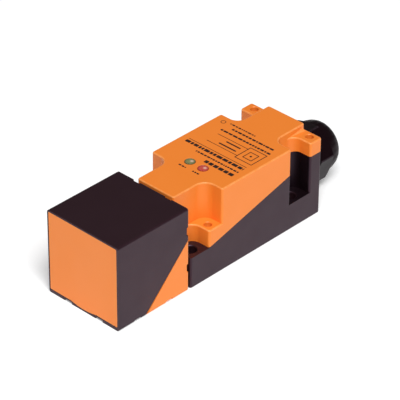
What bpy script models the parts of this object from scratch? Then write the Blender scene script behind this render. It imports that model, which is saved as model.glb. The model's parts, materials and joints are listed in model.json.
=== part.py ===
"""Rectangular inductive proximity sensor: a turnable sensing head docked on a terminal housing.

+Z is up from the mounting face, +Y runs from the sensing head to the cable gland, and the
origin lies on the mounting face in the middle of the four mounting holes. Metres throughout.
"""
import math

import bmesh
import bpy

MM = 0.001

# Driving dimensions
WIDTH = 40 * MM
HEIGHT = 40 * MM
LENGTH = 120 * MM
HEAD = 40 * MM
HOLE_SPACING_X = 30 * MM
HOLE_SPACING_Y = 60 * MM
HOLE_R = 2.9 * MM
FACE_TO_ORIGIN = 76 * MM
GAP = 0.3 * MM

HALF = WIDTH / 2
HEAD_AXIS_Z = HEIGHT / 2
NECK_HALF = 10.2 * MM
POCKET_FLOOR = 14.8 * MM
SLOT_FLOOR = 12.6 * MM
EAR_TOP = 37.2 * MM
EAR_FOOT = 30.6 * MM
LEDGE_TOP = 23 * MM
POCKET_CORNER = 5 * MM
SLOT_CORNER = 4.5 * MM
WALL = 2 * MM
CHAMBER_FLOOR = 3 * MM
CHAMBER_HALF = 17.6 * MM
CHANNEL_HALF = 8.2 * MM
DOCK_R = 5.6 * MM
DOCK_HOLE_R = 5.9 * MM
PIN_CIRCLE_R = 2.4 * MM
PIN_R = 0.6 * MM
LED_X = 3.7 * MM
LENS_R = 2.3 * MM
GLAND_Z = 15.8 * MM
GLAND_FLATS = 24 * MM
NUT_FLATS = 24.6 * MM
NUT_LEAN = 11
CABLE_R = 6.6 * MM
SCREW_SHANK_R = 1.1 * MM
SCREW_HEAD_R = 1.45 * MM
TERMINAL_PITCH = 7 * MM
TERMINALS = 4
CLAMP_HALF = 2.4 * MM
ROUND = 32
SMALL_ROUND = 20


def at(millimetres):
    """The Y of a plane this many millimetres behind the sensing face."""
    return millimetres * MM - FACE_TO_ORIGIN


NECK_Y = at(41.2)
POCKET_Y = at(52)
SHOULDER_Y = at(59.4)
SLOT_FRONT_Y = at(101)
SLOT_REAR_Y = at(113)
REAR_Y = LENGTH - FACE_TO_ORIGIN
HEAD_REAR_Y = HEAD - FACE_TO_ORIGIN
FRONT_HOLE_Y = -HOLE_SPACING_Y / 2
REAR_HOLE_Y = HOLE_SPACING_Y / 2
FRONT_SCREW = (16 * MM, at(55.3))
REAR_SCREW = (15.7 * MM, at(117))
LED_Y = at(65.2)
HEAD_SCREW_DEPTH = 3 * MM
SCREW_HEAD_H = 2 * MM

# Materials: colour, roughness, metallic
FINISHES = {
    "black_housing": ((0.028, 0.020, 0.023), 0.45, 0.0),
    "orange_housing": ((0.83, 0.20, 0.025), 0.42, 0.0),
    "gland_black": ((0.012, 0.011, 0.013), 0.5, 0.0),
    "seal_rubber": ((0.03, 0.03, 0.03), 0.8, 0.0),
    "green_lens": ((0.10, 0.28, 0.08), 0.15, 0.0),
    "red_lens": ((0.62, 0.04, 0.03), 0.15, 0.0),
    "circuit_board": ((0.02, 0.16, 0.06), 0.5, 0.0),
    "chip_black": ((0.02, 0.02, 0.02), 0.5, 0.0),
    "ferrite_grey": ((0.07, 0.07, 0.075), 0.7, 0.0),
    "copper_winding": ((0.72, 0.30, 0.12), 0.35, 1.0),
    "plated_brass": ((0.83, 0.62, 0.25), 0.25, 1.0),
    "zinc_steel": ((0.62, 0.63, 0.65), 0.3, 1.0),
    "terminal_plastic": ((0.18, 0.19, 0.20), 0.5, 0.0),
    "former_plastic": ((0.80, 0.78, 0.72), 0.5, 0.0),
}


def clear_scene():
    for obj in list(bpy.data.objects):
        bpy.data.objects.remove(obj)


def make_material(name):
    colour, roughness, metallic = FINISHES[name]
    material = bpy.data.materials.get(name) or bpy.data.materials.new(name)
    material.use_nodes = True
    shader = material.node_tree.nodes["Principled BSDF"]
    shader.inputs["Base Color"].default_value = (*colour, 1)
    shader.inputs["Roughness"].default_value = roughness
    shader.inputs["Metallic"].default_value = metallic
    return material


def finish_mesh(name, bm, finish, smooth=False):
    """Turns a bmesh into a named object. Without a finish it is a cutter, kept out of renders."""
    bmesh.ops.recalc_face_normals(bm, faces=bm.faces)
    mesh = bpy.data.meshes.new(name)
    bm.to_mesh(mesh)
    bm.free()
    obj = bpy.data.objects.new(name, mesh)
    bpy.context.scene.collection.objects.link(obj)
    if finish is None:
        obj.hide_render = True
        obj.display_type = "WIRE"
    else:
        mesh.materials.append(make_material(finish))
    if smooth:
        mesh.shade_smooth()
        mesh.set_sharp_from_angle(angle=math.radians(35))
    return obj


def prism(name, outline, low, high, along, finish=None):
    """A closed outline pushed from low to high along X, Y or Z.

    The outline's points hold the other two coordinates in X, Y, Z order.
    """
    axis = "XYZ".index(along)
    bm = bmesh.new()
    ends = []
    for level in (low, high):
        ring = []
        for point in outline:
            place = list(point)
            place.insert(axis, level)
            ring.append(bm.verts.new(place))
        ends.append(ring)
        bm.faces.new(ring)
    count = len(outline)
    for i in range(count):
        j = (i + 1) % count
        bm.faces.new((ends[0][i], ends[0][j], ends[1][j], ends[1][i]))
    return finish_mesh(name, bm, finish)


def box(name, low, high, finish=None):
    """A block between two opposite corners."""
    outline = [(low[0], low[1]), (high[0], low[1]), (high[0], high[1]), (low[0], high[1])]
    return prism(name, outline, low[2], high[2], "Z", finish)


def turned(name, profile, along, centre, finish=None, sides=ROUND):
    """A profile of (radius, position) points turned round an axis along X, Y or Z.

    A profile that starts and ends on the axis is a solid of revolution; otherwise its last
    point joins its first and the solid is a ring. centre holds the axis's other two
    coordinates in X, Y, Z order.
    """
    axis = "XYZ".index(along)
    bm = bmesh.new()
    rings = []
    for radius, position in profile:
        ring = []
        for i in range(sides if radius > 0 else 1):
            angle = 2 * math.pi * i / sides
            place = [centre[0] + radius * math.cos(angle), centre[1] + radius * math.sin(angle)]
            place.insert(axis, position)
            ring.append(bm.verts.new(place))
        rings.append(ring)
    pairs = list(zip(rings, rings[1:]))
    if profile[0][0] > 0:
        pairs.append((rings[-1], rings[0]))
    for first, second in pairs:
        for i in range(sides):
            j = (i + 1) % sides
            corners = [first[i % len(first)], first[j % len(first)],
                       second[j % len(second)], second[i % len(second)]]
            bm.faces.new(list(dict.fromkeys(corners)))
    return finish_mesh(name, bm, finish, smooth=True)


def bar(name, radius, low, high, along, centre, finish=None, sides=SMALL_ROUND):
    """A plain round bar or hole cutter."""
    return turned(name, [(0, low), (radius, low), (radius, high), (0, high)],
                  along, centre, finish, sides)


def combine(operation, target, tools):
    for tool in tools:
        modifier = target.modifiers.new(tool.name, "BOOLEAN")
        modifier.operation = operation
        modifier.solver = "EXACT"
        modifier.object = tool
    return target


def cut(target, *tools):
    return combine("DIFFERENCE", target, tools)


def fuse(target, *tools):
    return combine("UNION", target, tools)


def clip(target, *tools):
    return combine("INTERSECT", target, tools)


def arc(centre_x, centre_y, radius, start, end, steps=6):
    """Points of an arc from start to end, in degrees."""
    points = []
    for i in range(steps + 1):
        angle = math.radians(start + (end - start) * i / steps)
        points.append((centre_x + radius * math.cos(angle), centre_y + radius * math.sin(angle)))
    return points


def mirrored(half):
    """Closes an outline given for +X, from its front to its back, with its mirror image."""
    return half + [(-x, y) for x, y in reversed(half)]


def seam_z(y):
    """Height of the slanted parting line between the black housing and the orange cover."""
    if y <= POCKET_Y:
        return POCKET_FLOOR
    share = min(1, (y - POCKET_Y) / (SLOT_REAR_Y - POCKET_Y))
    return POCKET_FLOOR + share * (EAR_FOOT - POCKET_FLOOR)


def seam_line(lift, start=NECK_Y, end=REAR_Y):
    """The parting line as (y, z) points, raised by lift."""
    return [(y, seam_z(y) + lift) for y in (start, POCKET_Y, SLOT_REAR_Y, end)]


def chamber_outline(grow):
    """Plan of the inside of the terminal housing, grown outwards."""
    front, wide_front = at(48) - grow, at(61) - grow
    wide_rear, rear = at(98) + grow, at(113.4) + grow
    wide, narrow = CHAMBER_HALF + grow, CHANNEL_HALF + grow
    return mirrored([(narrow, front), (narrow, wide_front), (wide, wide_front),
                     (wide, wide_rear), (narrow, wide_rear), (narrow, rear)])


def slot_outline(side):
    """Plan of a rear mounting slot, open to the outside."""
    r = SLOT_CORNER
    inner = NECK_HALF + r
    points = [(HALF + 1 * MM, SLOT_FRONT_Y)]
    points += arc(inner, SLOT_FRONT_Y + r, r, 270, 180)
    points += arc(inner, SLOT_REAR_Y - r, r, 180, 90)
    points.append((HALF + 1 * MM, SLOT_REAR_Y))
    return [(side * x, y) for x, y in points]


def corner_points():
    """Plan positions and names of what sits at the four corners of the terminal housing."""
    for number, (side, end) in enumerate(((-1, 0), (1, 0), (-1, 1), (1, 1)), start=1):
        yield number, side, end


def base_housing():
    profile = [(NECK_Y, 0), (REAR_Y, 0)] + list(reversed(seam_line(0)))
    base = prism("base_housing", profile, -HALF, HALF, "X", "black_housing")
    bulkhead = box("bulkhead", (-8.3 * MM, NECK_Y, POCKET_FLOOR - MM),
                   (8.3 * MM, at(45.7), 37.7 * MM))
    fuse(base, bulkhead)
    cut(base, prism("chamber_cut", chamber_outline(0), CHAMBER_FLOOR, HEIGHT, "Z"))
    rebate = prism("rebate_cut", chamber_outline(1.4 * MM), 0, HEIGHT, "Z")
    above = seam_line(-0.9 * MM, at(46)) + [(REAR_Y, HEIGHT), (at(46), HEIGHT)]
    clip(rebate, prism("above_seam", above, -HALF, HALF, "X"))
    cut(base, rebate)
    cut(base, bar("dock_hole_cut", DOCK_HOLE_R, HEAD_REAR_Y, at(47), "Y", (0, HEAD_AXIS_Z), sides=ROUND))
    cut(base, bar("gland_hole_cut", 10.1 * MM, at(113), at(121), "Y", (0, GLAND_Z), sides=ROUND))
    for number, side, end in corner_points():
        hole_y = REAR_HOLE_Y if end else FRONT_HOLE_Y
        cut(base, bar(f"mounting_hole_cut_{number}", HOLE_R, -MM, POCKET_FLOOR + MM, "Z",
                      (side * HOLE_SPACING_X / 2, hole_y), sides=24))
        x, y = REAR_SCREW if end else FRONT_SCREW
        foot = 19 * MM if end else 4 * MM
        cut(base, bar(f"pilot_cut_{number}", SCREW_SHANK_R + GAP, foot, HEIGHT, "Z", (side * x, y)))
    for side, name in ((-1, "left"), (1, "right")):
        cut(base, prism(f"slot_cut_{name}", slot_outline(side), SLOT_FLOOR, HEIGHT, "Z"))
        for row, y in (("front", at(65)), ("rear", at(78))):
            fuse(base, bar(f"board_post_{row}_{name}", 2 * MM, CHAMBER_FLOOR - MM, 11.7 * MM, "Z",
                           (side * 14 * MM, y), sides=12))
    return base


def top_cover():
    half = [(NECK_HALF, NECK_Y), (NECK_HALF, SHOULDER_Y - POCKET_CORNER)]
    half += arc(NECK_HALF + POCKET_CORNER, SHOULDER_Y - POCKET_CORNER, POCKET_CORNER, 180, 90)
    half += [(HALF, SHOULDER_Y), (HALF, SLOT_FRONT_Y)]
    half += arc(NECK_HALF + SLOT_CORNER, SLOT_FRONT_Y + SLOT_CORNER, SLOT_CORNER, 270, 180)
    half.append((NECK_HALF, REAR_Y))
    cover = prism("top_cover", mirrored(half), POCKET_FLOOR, HEIGHT, "Z", "orange_housing")
    ledge = [(NECK_HALF, POCKET_Y - SLOT_CORNER)]
    ledge += arc(NECK_HALF + SLOT_CORNER, POCKET_Y - SLOT_CORNER, SLOT_CORNER, 180, 90)
    ledge += [(HALF, POCKET_Y), (HALF, SHOULDER_Y + MM)]
    ear = [(NECK_HALF, SLOT_REAR_Y - SLOT_CORNER)]
    ear += arc(NECK_HALF + SLOT_CORNER, SLOT_REAR_Y - SLOT_CORNER, SLOT_CORNER, 180, 90)
    ear += [(HALF, SLOT_REAR_Y), (HALF, REAR_Y)]
    fuse(cover, prism("ledges", mirrored(ledge), POCKET_FLOOR, LEDGE_TOP, "Z"))
    fuse(cover, prism("ears", mirrored(ear), EAR_FOOT - MM, EAR_TOP, "Z"))
    below = [(HEAD_REAR_Y, 0), (at(121), 0)] + list(reversed(seam_line(GAP, HEAD_REAR_Y, at(121))))
    cut(cover, prism("below_seam", below, -HALF - MM, HALF + MM, "X"))
    roof = HEIGHT - WALL
    cut(cover, box("cover_room_cut", (-CHAMBER_HALF, at(61), 0), (CHAMBER_HALF, at(98), roof)))
    cut(cover, box("neck_room_cut", (-8.6 * MM, HEAD_REAR_Y, 0), (8.6 * MM, at(61.5), roof)))
    cut(cover, box("channel_room_cut", (-CHANNEL_HALF, at(97.5), 0),
                   (CHANNEL_HALF, at(117.5), roof)))
    for number, side, end in corner_points():
        x, y = REAR_SCREW if end else FRONT_SCREW
        seat = (EAR_TOP if end else LEDGE_TOP) - HEAD_SCREW_DEPTH - SCREW_HEAD_H - GAP
        cut(cover, bar(f"shank_cut_{number}", SCREW_SHANK_R + GAP, 0, HEIGHT, "Z", (side * x, y)))
        cut(cover, bar(f"head_cut_{number}", SCREW_HEAD_R + GAP, seat, HEIGHT + MM, "Z",
                       (side * x, y)))
    for side, name in ((-1, "green"), (1, "red")):
        cut(cover, bar(f"lens_cut_{name}", LENS_R + 0.15 * MM, roof - MM, HEIGHT + MM, "Z",
                       (side * LED_X, LED_Y), sides=24))
    return cover


def cover_seal():
    seal = prism("cover_seal", chamber_outline(1.1 * MM), 0, HEIGHT, "Z", "seal_rubber")
    band = seam_line(-0.6 * MM, at(46)) + list(reversed(seam_line(0, at(46))))
    clip(seal, prism("seal_band", band, -HALF, HALF, "X"))
    cut(seal, prism("seal_inside_cut", chamber_outline(GAP), 0, HEIGHT, "Z"))


def cover_screws():
    for number, side, end in corner_points():
        x, y = REAR_SCREW if end else FRONT_SCREW
        top = (EAR_TOP if end else LEDGE_TOP) - HEAD_SCREW_DEPTH
        foot = 21 * MM if end else 6 * MM
        under = top - SCREW_HEAD_H
        profile = [(0, foot), (0.6 * MM, foot), (SCREW_SHANK_R, foot + 1.2 * MM),
                   (SCREW_SHANK_R, under), (SCREW_HEAD_R, under), (SCREW_HEAD_R, top), (0, top)]
        origin = (side * x, y)
        screw = turned(f"cover_screw_{number}", profile, "Z", origin, "zinc_steel", SMALL_ROUND)
        cut(screw, box(f"screw_slot_{number}",
                       (side * x - 2 * MM, y - 0.25 * MM, top - 0.8 * MM),
                       (side * x + 2 * MM, y + 0.25 * MM, top + MM)))


def notches(prefix):
    """Cutters for the indexing notches on the edges of the head's two docking faces."""
    centre, width, depth, run = 8.9 * MM, 4.2 * MM, 1.1 * MM, 2.2 * MM
    tools = []
    for sign in (-1, 1):
        low, high = sign * centre - width / 2, sign * centre + width / 2
        spans = {
            "front_foot": ((low, at(-1), -MM), (high, at(0) + run, depth)),
            "rear_foot": ((low, HEAD_REAR_Y - run, -MM), (high, at(41), depth)),
            "rear_top": ((low, HEAD_REAR_Y - depth, HEIGHT - run), (high, at(41), HEIGHT + MM)),
        }
        for side, name in ((-1, "left"), (1, "right")):
            edge = sorted((side * (HALF - run), side * (HALF + MM)))
            spans[f"foot_{name}"] = ((edge[0], at(20) + low, -MM), (edge[1], at(20) + high, depth))
            spans[f"rear_{name}"] = ((edge[0], HEAD_REAR_Y - depth, HEAD_AXIS_Z + low),
                                     (edge[1], at(41), HEAD_AXIS_Z + high))
        row = "a" if sign < 0 else "b"
        for name, (corner, opposite) in spans.items():
            tools.append(box(f"{prefix}_notch_{name}_{row}", corner, opposite))
    return tools


def face_plate_outline(grow):
    """Front view of the active face, with the shallow tongue in its lower edge."""
    half, top, foot = 19.2 * MM + grow, 39.2 * MM + grow, 1.7 * MM - grow
    dip = 0.9 * MM
    tongue = []
    steps = 8
    for i in range(steps + 1):
        x = (2 * i / steps - 1) * 7.5 * MM
        tongue.append((x, foot - dip * math.cos(math.pi * x / (15 * MM))))
    return [(-half, foot)] + tongue + [(half, foot), (half, top), (-half, top)]


def wedge_outline(start):
    """Side view of the orange lower rear corner, below a 45 degree line."""
    rise = HEAD_REAR_Y - start
    return [(start, 0), (HEAD_REAR_Y, 0), (HEAD_REAR_Y, rise)]


def head_frame():
    frame = box("head_frame", (-HALF, at(0), 0), (HALF, HEAD_REAR_Y, HEIGHT), "black_housing")
    inner = box("frame_inside_cut", (-18 * MM, at(1), 1.6 * MM), (18 * MM, at(41), 38 * MM))
    plate = prism("frame_front_cut", face_plate_outline(GAP), at(-1), at(1.7), "Y")
    rise = at(41) - at(13.8)
    wedge = prism("frame_wedge_cut", [(at(13.8), -MM), (at(41), -MM), (at(41), rise - MM)],
                  -HALF - MM, HALF + MM, "X")
    port = bar("frame_port_cut", DOCK_HOLE_R, -MM, 5 * MM, "Z", (0, at(20)), sides=ROUND)
    return cut(frame, inner, plate, wedge, port, *notches("frame"))


def sensing_body():
    body = box("sensing_body", (-17.7 * MM, at(1.4) - 0.2 * MM, 1.9 * MM),
               (17.7 * MM, HEAD_REAR_Y, 37.7 * MM), "orange_housing")
    fuse(body, prism("face_plate", face_plate_outline(0), at(0), at(1.4), "Y"))
    fuse(body, prism("lower_rear_wedge", wedge_outline(at(15.2)), -HALF, HALF, "X"))
    cavity = box("head_room_cut", (-15.5 * MM, at(2.4), 4.2 * MM),
                 (15.5 * MM, at(41), 35.5 * MM))
    port = bar("body_port_cut", DOCK_HOLE_R, -MM, 5 * MM, "Z", (0, at(20)), sides=ROUND)
    return cut(body, cavity, port, *notches("body"))


def head_insides():
    axis = (0, HEAD_AXIS_Z)
    plate = box("head_back_plate", (-15.2 * MM, at(36.5), 4.5 * MM),
                (15.2 * MM, HEAD_REAR_Y, 35.2 * MM), "orange_housing")
    cut(plate, bar("plate_hole_cut", DOCK_HOLE_R, at(36), at(41), "Y", axis, sides=ROUND))
    plug_r = DOCK_HOLE_R - GAP
    turned("dock_plug", [(0, 0.4 * MM), (plug_r - 0.6 * MM, 0.4 * MM), (plug_r, MM),
                         (plug_r, 4 * MM), (0, 4 * MM)], "Z", (0, at(20)), "black_housing")
    core_front, core_rear = at(2.8), at(12.8)
    turned("ferrite_core", [(0, core_front), (6 * MM, core_front), (6 * MM, at(9.8)),
                            (11.6 * MM, at(9.8)), (11.6 * MM, core_front),
                            (14.5 * MM, core_front), (14.5 * MM, core_rear), (0, core_rear)],
           "Y", axis, "ferrite_grey")
    turned("coil_former", [(6.3 * MM, at(3.2)), (11.2 * MM, at(3.2)), (11.2 * MM, at(3.9)),
                           (7.1 * MM, at(3.9)), (7.1 * MM, at(8.8)), (11.2 * MM, at(8.8)),
                           (11.2 * MM, at(9.5)), (6.3 * MM, at(9.5))],
           "Y", axis, "former_plastic")
    turned("sensing_coil", [(7.4 * MM, at(4.2)), (10.7 * MM, at(4.2)), (11 * MM, at(4.6)),
                            (11 * MM, at(8.1)), (10.7 * MM, at(8.5)), (7.4 * MM, at(8.5))],
           "Y", axis, "copper_winding")
    box("head_circuit_board", (-14 * MM, at(15), 6 * MM), (14 * MM, at(16.6), 34 * MM),
        "circuit_board")
    box("head_chip", (-5 * MM, at(16.9), 22 * MM), (5 * MM, at(18.4), 31 * MM), "chip_black")
    bar("head_capacitor", 2.5 * MM, at(16.9), at(24), "Y", (8 * MM, 12 * MM), "chip_black")
    turned("contact_board", [(0, at(30.5)), (9 * MM, at(30.5)), (9 * MM, at(32.1)),
                             (0, at(32.1))], "Y", axis, "circuit_board")


def docking():
    axis = (0, HEAD_AXIS_Z)
    groove = DOCK_R - 0.9 * MM
    web_front, web_rear, inside = HEAD_REAR_Y, at(42.5), 4.2 * MM
    profile = [(0, web_front), (inside, web_front), (inside, at(35)), (DOCK_R, at(35))]
    for start in (37.2, 43.2):
        profile += [(DOCK_R, at(start)), (groove, at(start)),
                    (groove, at(start + 1.6)), (DOCK_R, at(start + 1.6))]
    profile += [(DOCK_R, at(46.4)), (inside, at(46.4)), (inside, web_rear), (0, web_rear)]
    spigot = turned("docking_spigot", profile, "Y", axis, "black_housing")
    for row, start in (("front", 37.2), ("rear", 43.2)):
        low, high = at(start + 0.25), at(start + 1.35)
        turned(f"docking_seal_{row}", [(groove + 0.15 * MM, low), (DOCK_R + 0.1 * MM, low),
                                       (DOCK_R + 0.1 * MM, high), (groove + 0.15 * MM, high)],
               "Y", axis, "seal_rubber")
    socket = box("docking_socket", (-4.5 * MM, at(48.5), 15.5 * MM), (4.5 * MM, at(53), 24.5 * MM),
                 "chip_black")
    for number in range(1, 5):
        angle = math.radians(45 + 90 * number)
        place = (PIN_CIRCLE_R * math.cos(angle), HEAD_AXIS_Z + PIN_CIRCLE_R * math.sin(angle))
        cut(spigot, bar(f"web_hole_cut_{number}", PIN_R + 0.2 * MM, at(39), at(44), "Y", place))
        cut(socket, bar(f"socket_hole_cut_{number}", PIN_R + GAP, at(48), at(52), "Y", place))
        profile = [(0, at(33)), (PIN_R * 0.7, at(33)), (PIN_R, at(33.4)),
                   (PIN_R, at(50.6)), (PIN_R * 0.7, at(51)), (0, at(51))]
        turned(f"contact_pin_{number}", profile, "Y", place, "plated_brass", 12)
    box("docking_board", (-7.4 * MM, at(53.3), 3.3 * MM), (7.4 * MM, at(54.9), 30 * MM),
        "circuit_board")


def electronics():
    box("main_circuit_board", (-16.5 * MM, at(62.5), 12 * MM), (16.5 * MM, at(80.5), 13.6 * MM),
        "circuit_board")
    lead = [(at(55.2), 8 * MM), (at(58), 8 * MM), (at(60), 10 * MM), (at(64.5), 10 * MM),
            (at(64.5), 11.7 * MM), (at(64), 11.7 * MM), (at(64), 10.5 * MM), (at(59.8), 10.5 * MM),
            (at(57.8), 8.5 * MM), (at(55.2), 8.5 * MM)]
    prism("flat_lead", lead, -5 * MM, 5 * MM, "X", "former_plastic")
    deck = 13.9 * MM
    box("control_chip", (-5 * MM, at(69.5), deck), (5 * MM, at(79), deck + 1.6 * MM), "chip_black")
    box("output_transistor", (8 * MM, at(70), deck), (15 * MM, at(77), deck + 2.4 * MM),
        "chip_black")
    bar("capacitor", 3.2 * MM, deck, deck + 8 * MM, "Z", (-11 * MM, at(74)), "chip_black")
    for side, name in ((-1, "green"), (1, "red")):
        centre = (side * LED_X, LED_Y)
        turned(f"led_{name}", [(0, deck), (1.5 * MM, deck), (1.5 * MM, deck + 1.4 * MM),
                               (0.9 * MM, deck + 2.2 * MM), (0, deck + 2.5 * MM)],
               "Z", centre, f"{name}_lens", SMALL_ROUND)
        low, top = deck + 2.9 * MM, HEIGHT + 0.35 * MM
        flange = HEIGHT - WALL - GAP
        profile = [(0, low), (LENS_R, low), (LENS_R, flange - MM), (LENS_R + 0.7 * MM, flange - MM),
                   (LENS_R + 0.7 * MM, flange), (LENS_R, flange), (LENS_R, HEIGHT),
                   (LENS_R * 0.6, HEIGHT + 0.26 * MM), (0, top)]
        turned(f"light_guide_{name}", profile, "Z", centre, f"{name}_lens", 24)


def terminals():
    front, rear, foot, top = at(83.5), at(95.5), 3.3 * MM, 17 * MM
    half = (TERMINALS / 2 * TERMINAL_PITCH) + 0.6 * MM
    block = box("terminal_block", (-half, front, foot), (half, rear, top), "terminal_plastic")
    screw_y, cage_front, cage_rear = at(90), at(87), at(93)
    cage_foot, cage_top = 5 * MM, 11 * MM
    wall = 0.9 * MM
    for number in range(1, TERMINALS + 1):
        x = (number - (TERMINALS + 1) / 2) * TERMINAL_PITCH
        room = CLAMP_HALF + GAP
        cut(block, box(f"cage_room_cut_{number}", (x - room, cage_front - GAP, cage_foot - GAP),
                       (x + room, rear + MM, cage_top + 2.3 * MM)))
        cut(block, bar(f"driver_hole_cut_{number}", 2.1 * MM, cage_top, top + MM, "Z",
                       (x, screw_y)))
        cage = box(f"terminal_clamp_{number}", (x - CLAMP_HALF, cage_front, cage_foot),
                   (x + CLAMP_HALF, cage_rear, cage_top), "zinc_steel")
        cut(cage, box(f"wire_room_cut_{number}",
                      (x - CLAMP_HALF + wall, cage_front - MM, cage_foot + wall),
                      (x + CLAMP_HALF - wall, cage_rear + MM, cage_top - wall)),
            bar(f"cage_thread_cut_{number}", 1.6 * MM, cage_top - 2 * MM, cage_top + MM, "Z",
                (x, screw_y)))
        shank_foot, head_foot, head_top = 8.3 * MM, 13.6 * MM, 15.6 * MM
        screw = turned(f"terminal_screw_{number}",
                       [(0, shank_foot), (1.3 * MM, shank_foot), (1.3 * MM, head_foot),
                        (1.8 * MM, head_foot), (1.8 * MM, head_top), (0, head_top)],
                       "Z", (x, screw_y), "zinc_steel", SMALL_ROUND)
        cut(screw, box(f"terminal_slot_{number}", (x - 3 * MM, screw_y - 0.3 * MM, 14.8 * MM),
                       (x + 3 * MM, screw_y + 0.3 * MM, 17 * MM)))


def hexagon(flats, lean=0):
    """A hexagon across the gland's axis: a corner to each side, then leant by degrees."""
    return arc(0, GLAND_Z, flats / math.sqrt(3), lean, lean + 300, steps=5)


def cable_gland():
    axis = (0, GLAND_Z)
    bore = 7 * MM
    turned("gland_washer", [(10.2 * MM, at(120.3)), (11.9 * MM, at(120.3)),
                            (11.9 * MM, at(121.5)), (10.2 * MM, at(121.5))],
           "Y", axis, "seal_rubber")
    body = turned("gland_body", [(bore, at(114)), (9.8 * MM, at(114)), (9.8 * MM, at(123)),
                                 (10.3 * MM, at(123)), (10.3 * MM, at(135)), (9.4 * MM, at(135)),
                                 (9.4 * MM, at(128)), (bore, at(128))],
                  "Y", axis, "gland_black")
    collar = prism("gland_collar", hexagon(GLAND_FLATS), at(121.8), at(126.3), "Y")
    cut(collar, bar("collar_bore_cut", 8.5 * MM, at(121), at(127), "Y", axis, sides=ROUND))
    fuse(body, collar)
    turned("gland_seal", [(CABLE_R, at(128.4)), (7.9 * MM, at(128.4)), (7.9 * MM, at(138.5)),
                          (7.4 * MM, at(140)), (CABLE_R, at(140))], "Y", axis, "seal_rubber")
    turned("gland_cage", [(8.2 * MM, at(128.4)), (9.1 * MM, at(128.4)), (9.1 * MM, at(136.5)),
                          (8.7 * MM, at(139)), (8.2 * MM, at(139))], "Y", axis, "gland_black")
    nut = prism("gland_nut", hexagon(NUT_FLATS, NUT_LEAN), at(126.8), at(136.4), "Y",
                "gland_black")
    dome = [(9 * MM, at(136)), (11.9 * MM, at(136)), (11.8 * MM, at(139)), (11.3 * MM, at(141.3)),
            (10.2 * MM, at(143)), (8.6 * MM, at(144)), (CABLE_R, at(144)), (CABLE_R, at(142))]
    fuse(nut, turned("nut_dome", dome, "Y", axis, sides=ROUND))
    cut(nut, bar("nut_thread_cut", 10.7 * MM, at(126), at(137), "Y", axis, sides=ROUND))
    throat = [(0, at(136.9)), (10.7 * MM, at(136.9)), (9.6 * MM, at(139.4)),
              (CABLE_R + 0.2 * MM, at(141.6)), (CABLE_R + 0.2 * MM, at(145)), (0, at(145))]
    cut(nut, turned("nut_throat_cut", throat, "Y", axis, sides=ROUND))


def main():
    clear_scene()
    base_housing()
    top_cover()
    cover_seal()
    cover_screws()
    head_frame()
    sensing_body()
    head_insides()
    docking()
    electronics()
    terminals()
    cable_gland()


main()
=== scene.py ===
"""Looks of a rectangular inductive proximity sensor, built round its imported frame.

+Z is up from the mounting face, +Y runs from the sensing face to the cable gland. Metres.
"""

import json
import math
import random

import bmesh
import bpy
from mathutils import Matrix, Vector

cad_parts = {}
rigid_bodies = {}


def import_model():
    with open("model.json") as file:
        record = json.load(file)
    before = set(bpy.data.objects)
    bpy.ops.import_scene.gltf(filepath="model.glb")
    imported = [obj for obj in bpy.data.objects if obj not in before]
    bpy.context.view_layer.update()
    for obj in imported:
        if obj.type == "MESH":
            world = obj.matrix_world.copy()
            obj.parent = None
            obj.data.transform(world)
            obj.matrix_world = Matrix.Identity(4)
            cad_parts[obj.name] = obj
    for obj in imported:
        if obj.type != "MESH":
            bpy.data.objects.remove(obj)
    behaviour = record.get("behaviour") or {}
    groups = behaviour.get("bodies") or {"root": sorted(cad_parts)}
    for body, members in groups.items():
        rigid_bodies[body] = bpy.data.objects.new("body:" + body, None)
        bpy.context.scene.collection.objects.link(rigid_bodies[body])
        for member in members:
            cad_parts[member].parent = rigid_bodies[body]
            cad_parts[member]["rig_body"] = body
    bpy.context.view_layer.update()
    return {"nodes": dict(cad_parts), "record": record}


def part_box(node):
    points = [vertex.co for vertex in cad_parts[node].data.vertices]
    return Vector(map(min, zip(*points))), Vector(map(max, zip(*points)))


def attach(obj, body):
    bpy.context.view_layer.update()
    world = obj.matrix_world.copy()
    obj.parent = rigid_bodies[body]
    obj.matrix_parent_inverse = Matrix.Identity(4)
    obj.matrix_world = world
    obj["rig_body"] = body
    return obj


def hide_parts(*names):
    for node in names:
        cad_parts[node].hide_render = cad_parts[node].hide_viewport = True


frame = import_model()

MM = 0.001
HEAD_LOW, HEAD_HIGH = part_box("head_frame")
BASE_LOW, BASE_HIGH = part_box("base_housing")
COVER_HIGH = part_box("top_cover")[1]
FACE_Y = HEAD_LOW.y

# Everything below is in millimetres, with Y counted from the sensing face.
HALF = BASE_HIGH.x / MM
TOP = COVER_HIGH.z / MM
TOP_OF_HEAD = HEAD_HIGH.z / MM
HEAD_REAR = (HEAD_HIGH.y - FACE_Y) / MM
NECK_FRONT = (BASE_LOW.y - FACE_Y) / MM
REAR = (BASE_HIGH.y - FACE_Y) / MM

# The cover's neck, its front screw pockets and its rear screw slots.
NECK_HALF = 10.2
POCKET_Y, SHOULDER_Y = 52, 59.4
SLOT_FRONT, SLOT_REAR = 101, 113
POCKET_FLOOR, SLOT_FLOOR = 14.8, 12.6
POCKET_CORNER, SLOT_CORNER = 5, 4.5
LEDGE_TOP, EAR_TOP, EAR_FOOT, DECK_TOP = 23, 37.2, 30.6, 40

# Holes, screws and lamps, as seen from above.
HOLES = [(-15, 46), (15, 46), (-15, 106), (15, 106)]
HOLE_R, PILOT_R = 2.9, 1.4
COVER_SCREWS = [(-16, 55.3), (16, 55.3), (-15.7, 117), (15.7, 117)]
LAMPS = {"green": -3.7, "red": 3.7}
LAMP_Y = 65.2

# The docking bore, and where the orange corner of the head starts.
DOCK_Z = 20
DOCK_HOLE_R = 5.9
PORT_Y = 20
WEDGE_START = 15.0

# The cable gland: its height, its collar and its nut.
GLAND_Z = 15.8
GLAND_FLATS, NUT_FLATS = 24, 24.6
NUT_LEAN = 11

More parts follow.
